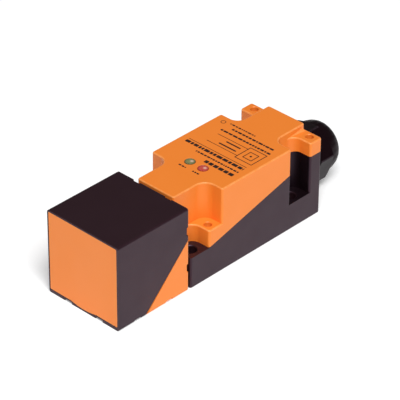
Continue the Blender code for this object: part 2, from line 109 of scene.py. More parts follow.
# Roundings, in millimetres, and the angle in degrees from which an edge counts as sharp.
EDGE_R = 0.55
CORNER_R = 1.0
SHARP = 38
SEAM_SHOW = 0.06

# The printing lies half in the deck and half above it.
INK_LOW, INK_HIGH = DECK_TOP - 0.015, DECK_TOP + 0.015

# How far a cutter reaches past the part on every side.
PAST = 1
WIDE = HALF + PAST
BEHIND_HEAD = 41
AHEAD_OF_NECK, BEHIND_REAR = 39, 121
ABOVE = 41


# ---------------------------------------------------------------- places

def at(distance):
    """The Y of a plane this many millimetres behind the sensing face."""
    return FACE_Y + distance * MM


def spot(x, y, z):
    """A point given in millimetres, with y measured from the sensing face."""
    return Vector((x * MM, at(y), z * MM))


def sweep(cx, cy, radius, start, end, steps=10):
    """Points of an arc, from start to end degrees."""
    points = []
    for i in range(steps + 1):
        angle = math.radians(start + (end - start) * i / steps)
        points.append((cx + radius * math.cos(angle), cy + radius * math.sin(angle)))
    return points


def knuckle(cx, cy, start, end, radius=None):
    """A short outer corner of an outline, rounded about its centre."""
    return sweep(cx, cy, radius or CORNER_R, start, end, 6)


def both_sides(half):
    """A half outline and its mirror image, as one closed outline."""
    return half + [(-across, along) for across, along in reversed(half)]


def rounded_box(low, high, corner, steps):
    """A rectangle with rounded corners, between two of its corners."""
    left, right = low[0] + corner, high[0] - corner
    near, far = low[1] + corner, high[1] - corner
    return (sweep(right, near, corner, 270, 360, steps) + sweep(right, far, corner, 0, 90, steps)
            + sweep(left, far, corner, 90, 180, steps) + sweep(left, near, corner, 180, 270, steps))


# ---------------------------------------------------------------- hand work

def let_go():
    """Nothing is held, so the next tool meets only what it is given."""
    bpy.ops.object.select_all(action="DESELECT")


def hold(piece):
    """Picks one piece and makes it the one that tools act on."""
    let_go()
    piece.select_set(True)
    bpy.context.view_layer.objects.active = piece


def settle(name):
    """Names the new piece and moves its place into its mesh."""
    piece = bpy.context.object
    piece.name = name
    bpy.ops.object.transform_apply(location=True, rotation=True, scale=True)
    return piece


def block(name, low, high):
    """A box between two corners in millimetres, as a start for further work."""
    let_go()
    low, high = spot(*low), spot(*high)
    bpy.ops.mesh.primitive_cube_add(size=1, location=(low + high) / 2, scale=high - low)
    return settle(name)


LAY = {"X": (0, math.pi / 2, 0), "Y": (-math.pi / 2, 0, 0), "Z": (0, 0, 0)}


def rod(name, radius, low, high, along, centre, sides=40):
    """A round bar. low and high are millimetres along its axis, centre the other two."""
    let_go()
    start, end = list(centre), list(centre)
    start.insert("XYZ".index(along), low)
    end.insert("XYZ".index(along), high)
    start, end = spot(*start), spot(*end)
    bpy.ops.mesh.primitive_cylinder_add(vertices=sides, radius=radius * MM,
                                        depth=(end - start).length,
                                        location=(start + end) / 2, rotation=LAY[along])
    return settle(name)


def edit(piece, pick="ALL", mode="VERT"):
    """Opens a piece for work on its mesh, with everything or nothing picked."""
    hold(piece)
    bpy.ops.object.mode_set(mode="EDIT")
    bpy.ops.mesh.select_mode(type=mode)
    bpy.ops.mesh.select_all(action="SELECT" if pick == "ALL" else "DESELECT")


def corners(part):
    """The places of an edge's or a face's corners, or of one corner, in a set order."""
    return sorted(tuple(vert.co) for vert in getattr(part, "verts", [part]))


def put_in_order():
    """Numbers the open mesh's corners, edges and faces by place, the same way in each run."""
    mesh = bpy.context.object.data
    form = bmesh.from_edit_mesh(mesh)
    for parts in (form.verts, form.edges, form.faces):
        ranks = {part: rank for rank, part in enumerate(sorted(parts, key=corners))}
        parts.sort(key=ranks.get)
        parts.index_update()
    bmesh.update_edit_mesh(mesh)


def shut():
    """Closes the mesh that is open, with its parts in a set order."""
    put_in_order()
    bpy.ops.object.mode_set(mode="OBJECT")


SPIN_MERGE, CUT_MERGE = 0.002 * MM, 0.004 * MM
FLAT = math.radians(0.6)


def trace(name, points, ring=True):
    """A line pulled from point to point out of one corner, and joined up if it is a ring."""
    let_go()
    bpy.ops.mesh.primitive_plane_add(size=1, location=(0, 0, 0))
    line = bpy.context.object
    line.name = name
    edit(line)
    bpy.ops.mesh.merge(type="CENTER")
    bpy.ops.transform.translate(value=points[0])
    for here, there in zip(points, points[1:]):
        bpy.ops.mesh.extrude_region_move(TRANSFORM_OT_translate={"value": there - here})
    if ring:
        bpy.ops.mesh.select_all(action="DESELECT")
        form = bmesh.from_edit_mesh(line.data)
        for vert in form.verts:
            vert.select = len(vert.link_edges) == 1
        bmesh.update_edit_mesh(line.data)
        bpy.ops.mesh.edge_face_add()
    shut()
    return line


def plate(name, outline, low, high, along):
    """An outline in millimetres, filled and pulled from low to high along one axis."""
    axis = "XYZ".index(along)
    points = []
    for pair in outline:
        place = list(pair)
        place.insert(axis, low)
        points.append(spot(*place))
    piece = trace(name, points)
    pull = Vector((0, 0, 0))
    pull[axis] = (high - low) * MM
    edit(piece)
    bpy.ops.mesh.edge_face_add()
    bpy.ops.mesh.extrude_region_move(TRANSFORM_OT_translate={"value": pull})
    bpy.ops.mesh.select_all(action="SELECT")
    bpy.ops.mesh.normals_make_consistent(inside=False)
    shut()
    return piece


def lathe(name, profile, along, centre, steps=64):
    """A profile of (radius, position) in millimetres, spun round an axis through centre."""
    axis = "XYZ".index(along)
    points = []
    for radius, position in profile:
        place = [centre[0] + radius, centre[1]]
        place.insert(axis, position)
        points.append(spot(*place))
    piece = trace(name, points, ring=profile[0][0] > 0)
    middle = list(centre)
    middle.insert(axis, profile[0][1])
    around = [0, 0, 0]
    around[axis] = 1
    edit(piece)
    bpy.ops.mesh.spin(steps=steps, angle=2 * math.pi, center=spot(*middle), axis=around)
    bpy.ops.mesh.select_all(action="SELECT")
    bpy.ops.mesh.remove_doubles(threshold=SPIN_MERGE)
    bpy.ops.mesh.normals_make_consistent(inside=False)
    shut()
    return piece


def is_closed(piece):
    """True where every edge has a face on each of its two sides."""
    form = bmesh.new()
    form.from_mesh(piece.data)
    whole = all(edge.is_manifold for edge in form.edges)
    form.free()
    return whole


def work(piece, tools, operation, solver):
    """Cuts or joins a piece with each tool in turn, and clears the tools away.

    MANIFOLD is for the pieces where EXACT leaves an open mesh, or a different one in each
    run. It skips an open mesh without an error, so that is made an error here.
    """
    hold(piece)
    for tool in tools:
        if solver == "MANIFOLD" and not (is_closed(piece) and is_closed(tool)):
            raise ValueError(f"{piece.name} or {tool.name} is open")
        step = piece.modifiers.new(tool.name, "BOOLEAN")
        step.operation = operation
        step.solver = solver
        step.object = tool
        bpy.ops.object.modifier_apply(modifier=step.name)
        bpy.data.objects.remove(tool)
    return piece


def carve(piece, *tools, solver="EXACT"):
    """Takes the tools away from a piece."""
    return work(piece, tools, "DIFFERENCE", solver)


def fuse(piece, *tools, solver="EXACT"):
    """Adds the tools to a piece."""
    return work(piece, tools, "UNION", solver)


def trim(piece, *tools, solver="EXACT"):
    """Leaves only what lies in the piece and in the tools."""
    return work(piece, tools, "INTERSECT", solver)


def gather(name, pieces):
    """Several pieces joined into one mesh."""
    let_go()
    for piece in pieces:
        piece.select_set(True)
    bpy.context.view_layer.objects.active = pieces[0]
    bpy.ops.object.join()
    pieces[0].name = name
    edit(pieces[0])
    shut()
    return pieces[0]


def copy_of(piece, name, shift=(0, 0, 0)):
    """A second piece from the same mould, with its own mesh, moved by millimetres."""
    twin = piece.copy()
    twin.data = piece.data.copy()
    twin.name = name
    bpy.context.scene.collection.objects.link(twin)
    hold(twin)
    bpy.ops.transform.translate(value=[step * MM for step in shift])
    bpy.ops.object.transform_apply(location=True, rotation=True, scale=True)
    return twin


def turn(piece, degrees, along, centre):
    """Turns a piece's mesh round an axis through centre, in millimetres."""
    middle = list(centre)
    middle.insert("XYZ".index(along), 0)
    edit(piece)
    bpy.ops.transform.rotate(value=math.radians(degrees), orient_axis=along,
                             orient_type="GLOBAL", center_override=spot(*middle))
    shut()
    return piece


def clean(piece):
    """Takes out doubled points and the flat lines that the cutting left, in a set order."""
    edit(piece)
    put_in_order()
    bpy.ops.mesh.remove_doubles(threshold=CUT_MERGE)
    bpy.ops.mesh.dissolve_limited(angle_limit=FLAT)
    shut()
    return piece


def round_edges(piece, width, where=None, rings=3):
    """Rounds the sharp edges that where accepts, and marks the new faces as rounded."""
    edit(piece, pick="NONE", mode="EDGE")
    form = bmesh.from_edit_mesh(piece.data)
    for edge in form.edges:
        if len(edge.link_faces) != 2 or edge.calc_face_angle() < math.radians(SHARP):
            continue
        low, high = (vert.co for vert in edge.verts)
        middle = (low + high) / 2
        x, y, z = middle.x / MM, (middle.y - FACE_Y) / MM, middle.z / MM
        edge.select = where is None or where(x, y, z)
    bmesh.update_edit_mesh(piece.data)
    bpy.ops.mesh.bevel(offset=width * MM, segments=rings, affect="EDGES", profile=0.5,
                       clamp_overlap=False)
    form = bmesh.from_edit_mesh(piece.data)
    rounded = form.faces.layers.float.get("rounded") or form.faces.layers.float.new("rounded")
    for face in form.faces:
        if face.select and face.calc_area() < width * MM * face.calc_perimeter():
            face[rounded] = 1
    bmesh.update_edit_mesh(piece.data)
    shut()
    return piece


def mark_painted_shade(piece, where):
    """Marks the faces whose middle where accepts as lying inside a recess, to be painted darker as
    painted shade.
    """
    edit(piece, pick="NONE", mode="FACE")
    form = bmesh.from_edit_mesh(piece.data)
    inside = form.faces.layers.float.get("inside") or form.faces.layers.float.new("inside")
    for face in form.faces:
        middle = face.calc_center_median()
        face[inside] = float(where(middle.x / MM, (middle.y - FACE_Y) / MM, middle.z / MM))
    bmesh.update_edit_mesh(piece.data)
    shut()
    return piece


def smooth(piece, angle=32):
    """Smooth over the roundings, flat on the flats."""
    hold(piece)
    bpy.ops.object.shade_smooth_by_angle(angle=math.radians(angle))
    step = piece.modifiers.new("flats", "WEIGHTED_NORMAL")
    step.keep_sharp = True
    bpy.ops.object.modifier_apply(modifier=step.name)
    return piece


def wear(piece, finish):
    """Gives a piece one finish all over."""
    piece.data.materials.clear()
    piece.data.materials.append(finish)


def fit(piece, slot, body, *nodes):
    """Gives a piece the finish of its slot and lets it stand for nodes of the frame."""
    wear(piece, finishes[slot])
    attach(piece, body)
    if nodes:
        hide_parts(*nodes)
    return piece


def complete(piece, slot, body, *nodes):
    """Cleans and smooths a cut piece, then fits it."""
    clean(piece)
    smooth(piece)
    return fit(piece, slot, body, *nodes)


# ---------------------------------------------------------------- finishes

class Finish:
    """A material being mixed: its nodes, its shader and the piece's own coordinates."""

    def __init__(self, name, colour, roughness, metallic=0.0):
        """Starts from a plain shader, which every finish then builds on."""
        self.material = bpy.data.materials.new(name)
        self.material.use_nodes = True
        self.nodes = self.material.node_tree.nodes
        self.links = self.material.node_tree.links
        self.shader = self.nodes["Principled BSDF"]
        self.set("Base Color", (*colour, 1))
        self.set("Roughness", roughness)
        self.set("Metallic", metallic)
        self.place = self.nodes.new("ShaderNodeTexCoord").outputs["Object"]

    def set(self, socket, value):
        """Sets one of the shader's sockets, to a number or colour or from another node."""
        if isinstance(value, bpy.types.NodeSocket):
            self.links.new(value, self.shader.inputs[socket])
        else:
            self.shader.inputs[socket].default_value = value

    def noise(self, size, detail=2.0):
        """Cloudy noise whose features are about size millimetres across."""
        node = self.nodes.new("ShaderNodeTexNoise")
        node.inputs["Scale"].default_value = 1 / (size * MM)
        node.inputs["Detail"].default_value = detail
        self.links.new(self.place, node.inputs["Vector"])
        return node.outputs["Fac"]

    def cells(self, size, distance="EUCLIDEAN"):
        """Distance from the middles of scattered cells about size millimetres apart."""
        node = self.nodes.new("ShaderNodeTexVoronoi")
        node.feature = "F1"
        node.distance = distance
        node.inputs["Scale"].default_value = 1 / (size * MM)
        self.links.new(self.place, node.inputs["Vector"])
        return node.outputs["Distance"]

    def range(self, value, low, high, out_low, out_high):
        """value from low..high stretched to out_low..out_high."""
        node = self.nodes.new("ShaderNodeMapRange")
        self.links.new(value, node.inputs["Value"])
        for name, number in (("From Min", low), ("From Max", high),
                             ("To Min", out_low), ("To Max", out_high)):
            node.inputs[name].default_value = number
        return node.outputs["Result"]

    def maths(self, operation, first, second):
        """One sum of two values, each a number or a socket."""
        node = self.nodes.new("ShaderNodeMath")
        node.operation = operation
        for index, value in enumerate((first, second)):
            if isinstance(value, bpy.types.NodeSocket):
                self.links.new(value, node.inputs[index])
            else:
                node.inputs[index].default_value = value
        return node.outputs["Value"]

    def mix(self, share, first, second):
        """One colour into another by share."""
        node = self.nodes.new("ShaderNodeMix")
        node.data_type = "RGBA"
        self.links.new(share, node.inputs["Factor"])
        for name, value in (("A", first), ("B", second)):
            socket = [s for s in node.inputs if s.name == name and s.type == "RGBA"][0]
            if isinstance(value, bpy.types.NodeSocket):
                self.links.new(value, socket)
            else:
                socket.default_value = (*value, 1)
        return [s for s in node.outputs if s.type == "RGBA"][0]

    def vary_roughness(self, size, detail, low, high):
        """Roughness that wanders between two values over patches of about size millimetres."""
        self.set("Roughness", self.range(self.noise(size, detail), 0.3, 0.7, low, high))

    def mark(self, name):
        """The value of a mark that was left on the mesh's faces."""
        node = self.nodes.new("ShaderNodeAttribute")
        node.attribute_name = name
        return node.outputs["Fac"]

    def bump(self, height, depth):
        """Relief of depth millimetres."""
        node = self.nodes.new("ShaderNodeBump")
        node.inputs["Distance"].default_value = depth * MM
        node.inputs["Strength"].default_value = 1
        self.links.new(height, node.inputs["Height"])
        self.set("Normal", node.outputs["Normal"])

    def split(self):
        """The piece's own X, Y and Z."""
        node = self.nodes.new("ShaderNodeSeparateXYZ")
        self.links.new(self.place, node.inputs["Vector"])
        return node.outputs["X"], node.outputs["Y"], node.outputs["Z"]


def moulded(name, deep, pale, rubbed_and_highlight, roughness, sheen=(1, 1, 1), gloss=0.5):
    """Spark-textured moulded plastic: two close tones, fine grain, marked recesses painted darker as
    painted shade, rounded edges painted paler as painted highlight and a little rubbed.
    """
    grain, depth, painted_shade_share = 0.3, 0.0015, 0.22
    finish = Finish(name, deep, roughness)
    drift = finish.range(finish.noise(22, 3), 0.3, 0.7, 0, 1)
    body = finish.mix(drift, deep, pale)
    # Faces marked inside are painted darker here, as painted shade in recesses.
    painted_shade_tone = [painted_shade_share * tone for tone in deep]
    body = finish.mix(finish.mark("inside"), body, painted_shade_tone)
    edge_patches = finish.range(finish.noise(1.3, 3), 0.3, 0.75, 0.3, 1)
    # Rounded edges painted paler: partly rubbing, partly painted highlight.
    wear = finish.maths("MULTIPLY", finish.mark("rounded"), edge_patches)
    finish.set("Base Color", finish.mix(wear, body, rubbed_and_highlight))
    matt = finish.range(finish.noise(9, 2), 0.3, 0.7, roughness - 0.03, roughness + 0.04)
    finish.set("Roughness", finish.maths("SUBTRACT", matt, finish.maths("MULTIPLY", wear, 0.1)))
    finish.set("Specular Tint", (*sheen, 1))
    finish.set("Specular IOR Level", gloss)
    pits = finish.cells(grain)
    relief = finish.maths("ADD", finish.noise(grain * 0.7, 2), finish.maths("MULTIPLY", pits, 0.6))
    finish.bump(relief, depth)
    return finish.material


def metal(name, colour, dull, roughness):
    """Plated metal with fine drawing lines and faint stains."""
    finish = Finish(name, colour, roughness, 1.0)
    stain = finish.range(finish.noise(2.5, 4), 0.4, 0.7, 0, 0.6)
    finish.set("Base Color", finish.mix(stain, colour, dull))
    finish.vary_roughness(0.4, 2, roughness - 0.06, roughness + 0.1)
    finish.bump(finish.noise(0.12, 1), 0.004)
    return finish.material


def rubber(name):
    """Black rubber with a faint dusty bloom."""
    finish = Finish(name, (0.02, 0.02, 0.021), 0.72)
    bloom = finish.range(finish.noise(1.8, 4), 0.45, 0.75, 0, 1)
    finish.set("Base Color", finish.mix(bloom, (0.016, 0.016, 0.017), (0.035, 0.034, 0.034)))
    finish.vary_roughness(0.6, 2, 0.62, 0.82)
    finish.bump(finish.noise(0.15, 2), 0.01)
    return finish.material


def lamp_glass(name, x, core, rim, highlight_tone):
    """Tinted lens: a darker rim, a faint prism pattern with painted glints and a painted highlight to
    one side.
    """
    finish = Finish(name, core, 0.16)
    across, along, _ = finish.split()

    def reach(east, north):
        """Distance in the plan from a point given in millimetres from the lens's middle."""
        off_x = finish.maths("SUBTRACT", across, (x + east) * MM)
        off_y = finish.maths("SUBTRACT", along, at(LAMP_Y + north))
        return finish.maths("POWER", finish.maths("ADD", finish.maths("MULTIPLY", off_x, off_x),
                                                  finish.maths("MULTIPLY", off_y, off_y)), 0.5)

    tint = finish.mix(finish.range(reach(0, 0), 1.2 * MM, 2.3 * MM, 0, 1), core, rim)
    # The pale spots of the prism pattern are painted glints.
    prism_glints = finish.range(finish.cells(0.5), 0.1, 0.7, 0.22, 0)
    tint = finish.mix(prism_glints, tint, highlight_tone)
    # A pale spot to one side is a painted highlight.
    highlight_spot = finish.range(reach(0.75, 0.35), 0.35 * MM, 1.0 * MM, 1, 0)
    finish.set("Base Color", finish.mix(highlight_spot, tint, highlight_tone))
    finish.vary_roughness(1.1, 2, 0.1, 0.24)
    finish.set("Coat Weight", 0.2)
    finish.set("Coat Roughness", 0.08)
    finish.bump(finish.cells(0.5), 0.02)
    return finish.material


def solder_mask(name):
    """Green board: tracks run one way or the other under the lacquer, with bare pads."""
    finish = Finish(name, (0.01, 0.11, 0.045), 0.35)
    across, along, up = finish.split()
    pitch, half_width, edge = 1.1, 0.16, 0.05

    def tracks(position):
        """Thin even lines across one direction of the board."""
        gap = finish.maths("PINGPONG", position, pitch / 2 * MM)
        return finish.range(gap, half_width * MM, (half_width + edge) * MM, 1, 0)

    turned = finish.range(finish.cells(8, "CHEBYCHEV"), 0.34, 0.36, 0, 1)
    east = finish.maths("MULTIPLY", tracks(across), turned)
    north = finish.maths("MULTIPLY", tracks(finish.maths("ADD", along, up)),
                         finish.maths("SUBTRACT", 1, turned))
    served = finish.range(finish.noise(4, 1), 0.44, 0.46, 0, 1)
    copper = finish.maths("MULTIPLY", finish.maths("ADD", east, north), served)
    lacquer = finish.mix(copper, (0.008, 0.085, 0.035), (0.02, 0.19, 0.075))
    pads = finish.range(finish.cells(2.6), 0.12, 0.14, 1, 0)
    finish.set("Base Color", finish.mix(pads, lacquer, (0.55, 0.54, 0.5)))
    finish.set("Metallic", finish.maths("MULTIPLY", pads, 0.9))
    finish.vary_roughness(1.5, 3, 0.28, 0.42)
    finish.bump(copper, 0.03)
    return finish.material


def wound_copper(name):
    """Enamelled wire laid turn by turn, each turn painted dark at its edges and pale at its crest as
    painted shade and highlight.
    """
    finish = Finish(name, (0.62, 0.22, 0.08), 0.32, 1.0)
    _, along, _ = finish.split()
    turns = finish.maths("PINGPONG", finish.maths("MULTIPLY", along, 1 / MM), 0.12)
    # Painted shade in the creases between the turns, painted highlight on their crests.
    turn_shading = finish.range(turns, 0, 0.12, 0, 1)
    finish.set("Base Color", finish.mix(turn_shading, (0.28, 0.075, 0.025), (0.78, 0.33, 0.13)))
    finish.vary_roughness(0.7, 2, 0.26, 0.4)
    finish.bump(turns, 0.3)
    return finish.material


def sintered(name):
    """Pressed and fired ferrite: dark, dull and speckled."""
    finish = Finish(name, (0.06, 0.06, 0.066), 0.6)
    specks = finish.range(finish.cells(0.35), 0.0, 0.6, 0, 1)
    finish.set("Base Color", finish.mix(specks, (0.03, 0.03, 0.033), (0.085, 0.085, 0.09)))
    finish.vary_roughness(0.9, 3, 0.5, 0.72)
    finish.bump(finish.noise(0.25, 3), 0.02)
    return finish.material


def printed_ink(name):
    """Pad-printed ink, worn thin in places."""
    finish = Finish(name, (0.016, 0.006, 0.004), 0.5)
    thin = finish.range(finish.noise(0.5, 3), 0.45, 0.8, 0, 0.5)
    finish.set("Base Color", finish.mix(thin, (0.02, 0.008, 0.006), (0.12, 0.035, 0.012)))
    finish.vary_roughness(0.8, 2, 0.42, 0.6)
    return finish.material


def mix_finishes():
    """Every finish, under the name of the slot that wears it."""
    return {
        # The third colour of each moulded finish is its edge tone: painted highlight on rounded edges
        # and a little rubbing.
        "black_housing": moulded("black_moulding", (0.0168, 0.0057, 0.0074),
                                 (0.0188, 0.0068, 0.0088),
                                 (0.05, 0.03, 0.034), 0.44, sheen=(0.78, 0.54, 0.76)),
        "orange_housing": moulded("orange_moulding", (0.88, 0.230, 0.026), (0.895, 0.238, 0.030),
                                  (0.93, 0.35, 0.10), 0.42, sheen=(1, 0.82, 0.66)),
        "gland_black": moulded("gland_nylon", (0.0056, 0.0018, 0.0028), (0.0068, 0.0024, 0.0035),
                               (0.03, 0.02, 0.026), 0.36, sheen=(1, 0.75, 0.95), gloss=0.09),
        "seal_rubber": rubber("seal_rubber_black"),
        # The third colour of each lens is the tone of its painted glints and painted highlight.
        "green_lens": lamp_glass("lens_green", LAMPS["green"], (0.20, 0.215, 0.075),
                                 (0.085, 0.095, 0.03), (0.62, 0.45, 0.36)),
        "red_lens": lamp_glass("lens_red", LAMPS["red"], (0.56, 0.06, 0.04),
                               (0.36, 0.02, 0.014), (0.78, 0.42, 0.33)),
        "circuit_board": solder_mask("board_lacquer"),
        "chip_black": moulded("chip_epoxy", (0.014, 0.014, 0.015), (0.02, 0.02, 0.021),
                              (0.04, 0.04, 0.042), 0.5),
        "ferrite_grey": sintered("ferrite"),
        "copper_winding": wound_copper("enamelled_wire"),
        "plated_brass": metal("gold_plate", (0.93, 0.66, 0.27), (0.62, 0.4, 0.14), 0.2),
        "zinc_steel": metal("zinc_plate", (0.66, 0.67, 0.7), (0.42, 0.43, 0.42), 0.3),
        "terminal_plastic": moulded("terminal_nylon", (0.13, 0.14, 0.15), (0.16, 0.17, 0.18),
                                    (0.26, 0.27, 0.28), 0.46),
        "former_plastic": moulded("former_nylon", (0.74, 0.70, 0.6), (0.8, 0.77, 0.68),
                                  (0.86, 0.84, 0.78), 0.45),
    }


# ---------------------------------------------------------------- sensing head

def seam_height(y):
    """Height of the slanted parting line between the housing and its cover."""
    share = min(1, max(0, (y - POCKET_Y) / (SLOT_REAR - POCKET_Y)))
    return POCKET_FLOOR + share * (EAR_FOOT - POCKET_FLOOR)


def seam_run(lift, start=NECK_FRONT, end=REAR):
    """The parting line seen from the side, raised by lift, as (y, z) points."""
    return [(y, seam_height(y) + lift) for y in (start, POCKET_Y, SLOT_REAR, end)]


def face_outline(grow):
    """Front view of the sensing face, with the shallow tongue in its lower edge."""
    half, top, foot = 19.25 + grow, 39.3 + grow, 1.7 - grow
    reach, dip, steps, corner = 7.5, 0.9, 24, 0.6 + grow
    tongue = []
    for i in range(steps + 1):
        x = (2 * i / steps - 1) * reach
        tongue.append((x, foot - dip * math.cos(math.pi * x / (2 * reach))))
    right = (knuckle(half - corner, foot + corner, 270, 360, corner)
             + knuckle(half - corner, top - corner, 0, 90, corner))
    return tongue + both_sides(right)


def index_notches():
    """Cutters for the small notches along the edges of the head's two docking faces."""
    centre, half_width, depth, run = 8.9, 2.1, 1.1, 2.2
    tools = []
    for sign in (-1, 1):
        low, high = sign * centre - half_width, sign * centre + half_width
        tools.append(block("front_foot", (low, -PAST, -PAST), (high, run, depth)))
        tools.append(block("rear_foot", (low, HEAD_REAR - run, -PAST), (high, BEHIND_HEAD, depth)))
        tools.append(block("rear_top", (low, HEAD_REAR - depth, TOP - run),
                           (high, BEHIND_HEAD, TOP + PAST)))
        for side in (-1, 1):
            inner, outer = sorted((side * (HALF - run), side * WIDE))
            tools.append(block("side_foot", (inner, PORT_Y + low, -PAST),
                               (outer, PORT_Y + high, depth)))
            tools.append(block("side_rear", (inner, HEAD_REAR - depth, DOCK_Z + low),
                               (outer, BEHIND_HEAD, DOCK_Z + high)))
    for tool in tools:
        round_edges(tool, 0.35, rings=2)
    return tools


def rounded_square(half, foot, top, radius):
    """Front view of a square section with rounded corners, as (x, z) points."""
    inner, low, high = half - radius, foot + radius, top - radius
    return both_sides(knuckle(inner, low, 270, 360, radius) + knuckle(inner, high, 0, 90, radius))


def head_blank(name):
    """The head's outside: a square bar with its rear edges rounded."""
    blank = plate(name, rounded_square(HALF, 0, TOP_OF_HEAD, CORNER_R), 0, HEAD_REAR, "Y")
    return round_edges(blank, 0.6, lambda x, y, z: y > HEAD_REAR - 0.1, 4)


def head_shell():
    """The black frame round the sensing block."""
    room_half, lip, foot, roof, face_depth = 18, 1, 1.6, 38, 1.7
    shell = head_blank("head_frame_shell")
    round_edges(shell, 0.22, lambda x, y, z: y < 0.1, 3)
    carve(shell, block("inside", (-room_half, lip, foot), (room_half, BEHIND_HEAD, roof)))
    carve(shell, plate("face_recess", face_outline(SEAM_SHOW), -PAST, face_depth, "Y"))
    start, end = WEDGE_START - 0.1, BEHIND_HEAD + PAST
    carve(shell, plate("wedge_room", [(start - PAST, -PAST), (end, -PAST), (end, end - start)],
                       -WIDE, WIDE, "X"))
    carve(shell, rod("port", DOCK_HOLE_R, -PAST, 5, "Z", (0, PORT_Y)))
    carve(shell, *index_notches())
    clean(shell)
    # The lower front lip is marked for painted shade near the floor.
    mark_painted_shade(shell, lambda x, y, z: y < 1.8 and z < 1.75 and abs(x) < 19.4)
    smooth(shell)
    fit(shell, "black_housing", "head", "head_frame")


def sensing_block():
    """The orange block: flat sensing face, hollow middle and full-width lower rear corner."""
    block_all = head_blank("sensing_block")
    end = HEAD_REAR + PAST
    trim(block_all, plate("wedge", [(WEDGE_START, -PAST), (end, -PAST), (end, end - WEDGE_START)],
                          -WIDE, WIDE, "X"))
    front = plate("sensing_face", face_outline(0), 0, 1.6, "Y")
    round_edges(front, 0.2, lambda x, y, z: y < 0.1)
    middle = block("middle", (-17.7, 1.2, 1.9), (17.7, HEAD_REAR, 37.7))
    fuse(block_all, middle, front)
    room_half, room_front, room_foot, room_top = 15.5, 2.4, 4.2, 35.5
    carve(block_all, block("room", (-room_half, room_front, room_foot),
                           (room_half, BEHIND_HEAD, room_top)),
          rod("port", DOCK_HOLE_R, -PAST, 5, "Z", (0, PORT_Y)))
    carve(block_all, *index_notches())
    complete(block_all, "orange_housing", "head", "sensing_body")


def back_plate():
    """Rear wall of the head: a ring of the docking bore, four ribs and a recessed field."""
    front, field_floor, border, boss_radius = 36.5, 39.4, 1.6, 8.2
    half, foot, top = 15.2, 4.5, 35.2
    wall = block("head_rear_wall", (-half, front, foot), (half, HEAD_REAR, top))
    round_edges(wall, 0.5)
    field = block("field", (border - half, field_floor, foot + border),
                  (half - border, BEHIND_HEAD, top - border))
    round_edges(field, 0.3)
    carve(wall, field)
    boss = rod("boss", boss_radius, 38, HEAD_REAR, "Y", (0, DOCK_Z), 64)
    round_edges(boss, 0.3)
    ribs = []
    for lean in (45, 135):
        rib = block("rib", (-14.5, 38.5, DOCK_Z - 0.6), (14.5, 39.8, DOCK_Z + 0.6))
        ribs.append(turn(rib, lean, "Y", (0, DOCK_Z)))
    fuse(wall, boss, *ribs)
    carve(wall, rod("bore", DOCK_HOLE_R, 36, 42, "Y", (0, DOCK_Z), 64))
    clean(wall)
    round_edges(wall, 0.2, lambda x, y, z: y > 39.9 and math.hypot(x, z - DOCK_Z) < 6.2)
    smooth(wall)
    fit(wall, "orange_housing", "head", "head_back_plate")


def port_plug():
    """The plug that shuts the unused docking port, with a groove and a coin slot."""
    radius = DOCK_HOLE_R - 0.3
    plug = lathe("port_plug", [(0, 0.4), (radius - 0.9, 0.4), (radius - 0.6, 0.45),
                               (radius - 0.2, 0.7), (radius, 1.1), (radius, 2), (radius - 0.3, 2.2),
                               (radius - 0.3, 2.8), (radius, 3), (radius, 4), (0, 4)], "Z", (0, 20))
    slot = block("slot", (-3.6, 19.4, -1), (3.6, 20.6, 1.5))
    round_edges(slot, 0.25)
    carve(plug, slot)
    complete(plug, "black_housing", "head", "dock_plug")


# ---------------------------------------------------------------- terminal housing

def room_outline(grow):
    """Plan of the inside of the terminal housing, grown outwards."""
    front, wide_front, wide_rear, rear = 48 - grow, 61 - grow, 98 + grow, 113.4 + grow
    wide, narrow = 17.6 + grow, 8.2 + grow
    return both_sides([(narrow, front), (narrow, wide_front), (wide, wide_front),
                       (wide, wide_rear), (narrow, wide_rear), (narrow, rear)])


def slot_outline(side):
    """Plan of a rear screw slot, open to the outside, with its mouth rounded."""
    inner, edge = NECK_HALF + SLOT_CORNER, HALF - CORNER_R
    points = [(HALF + 1, SLOT_FRONT - CORNER_R)]
    points += knuckle(edge, SLOT_FRONT - CORNER_R, 0, 90)
    points += sweep(inner, SLOT_FRONT + SLOT_CORNER, SLOT_CORNER, 270, 180)
    points += sweep(inner, SLOT_REAR - SLOT_CORNER, SLOT_CORNER, 180, 90)
    points += knuckle(edge, SLOT_REAR + CORNER_R, 270, 360)
    points.append((HALF + 1, SLOT_REAR + CORNER_R))
    return [(side * x, y) for x, y in points]


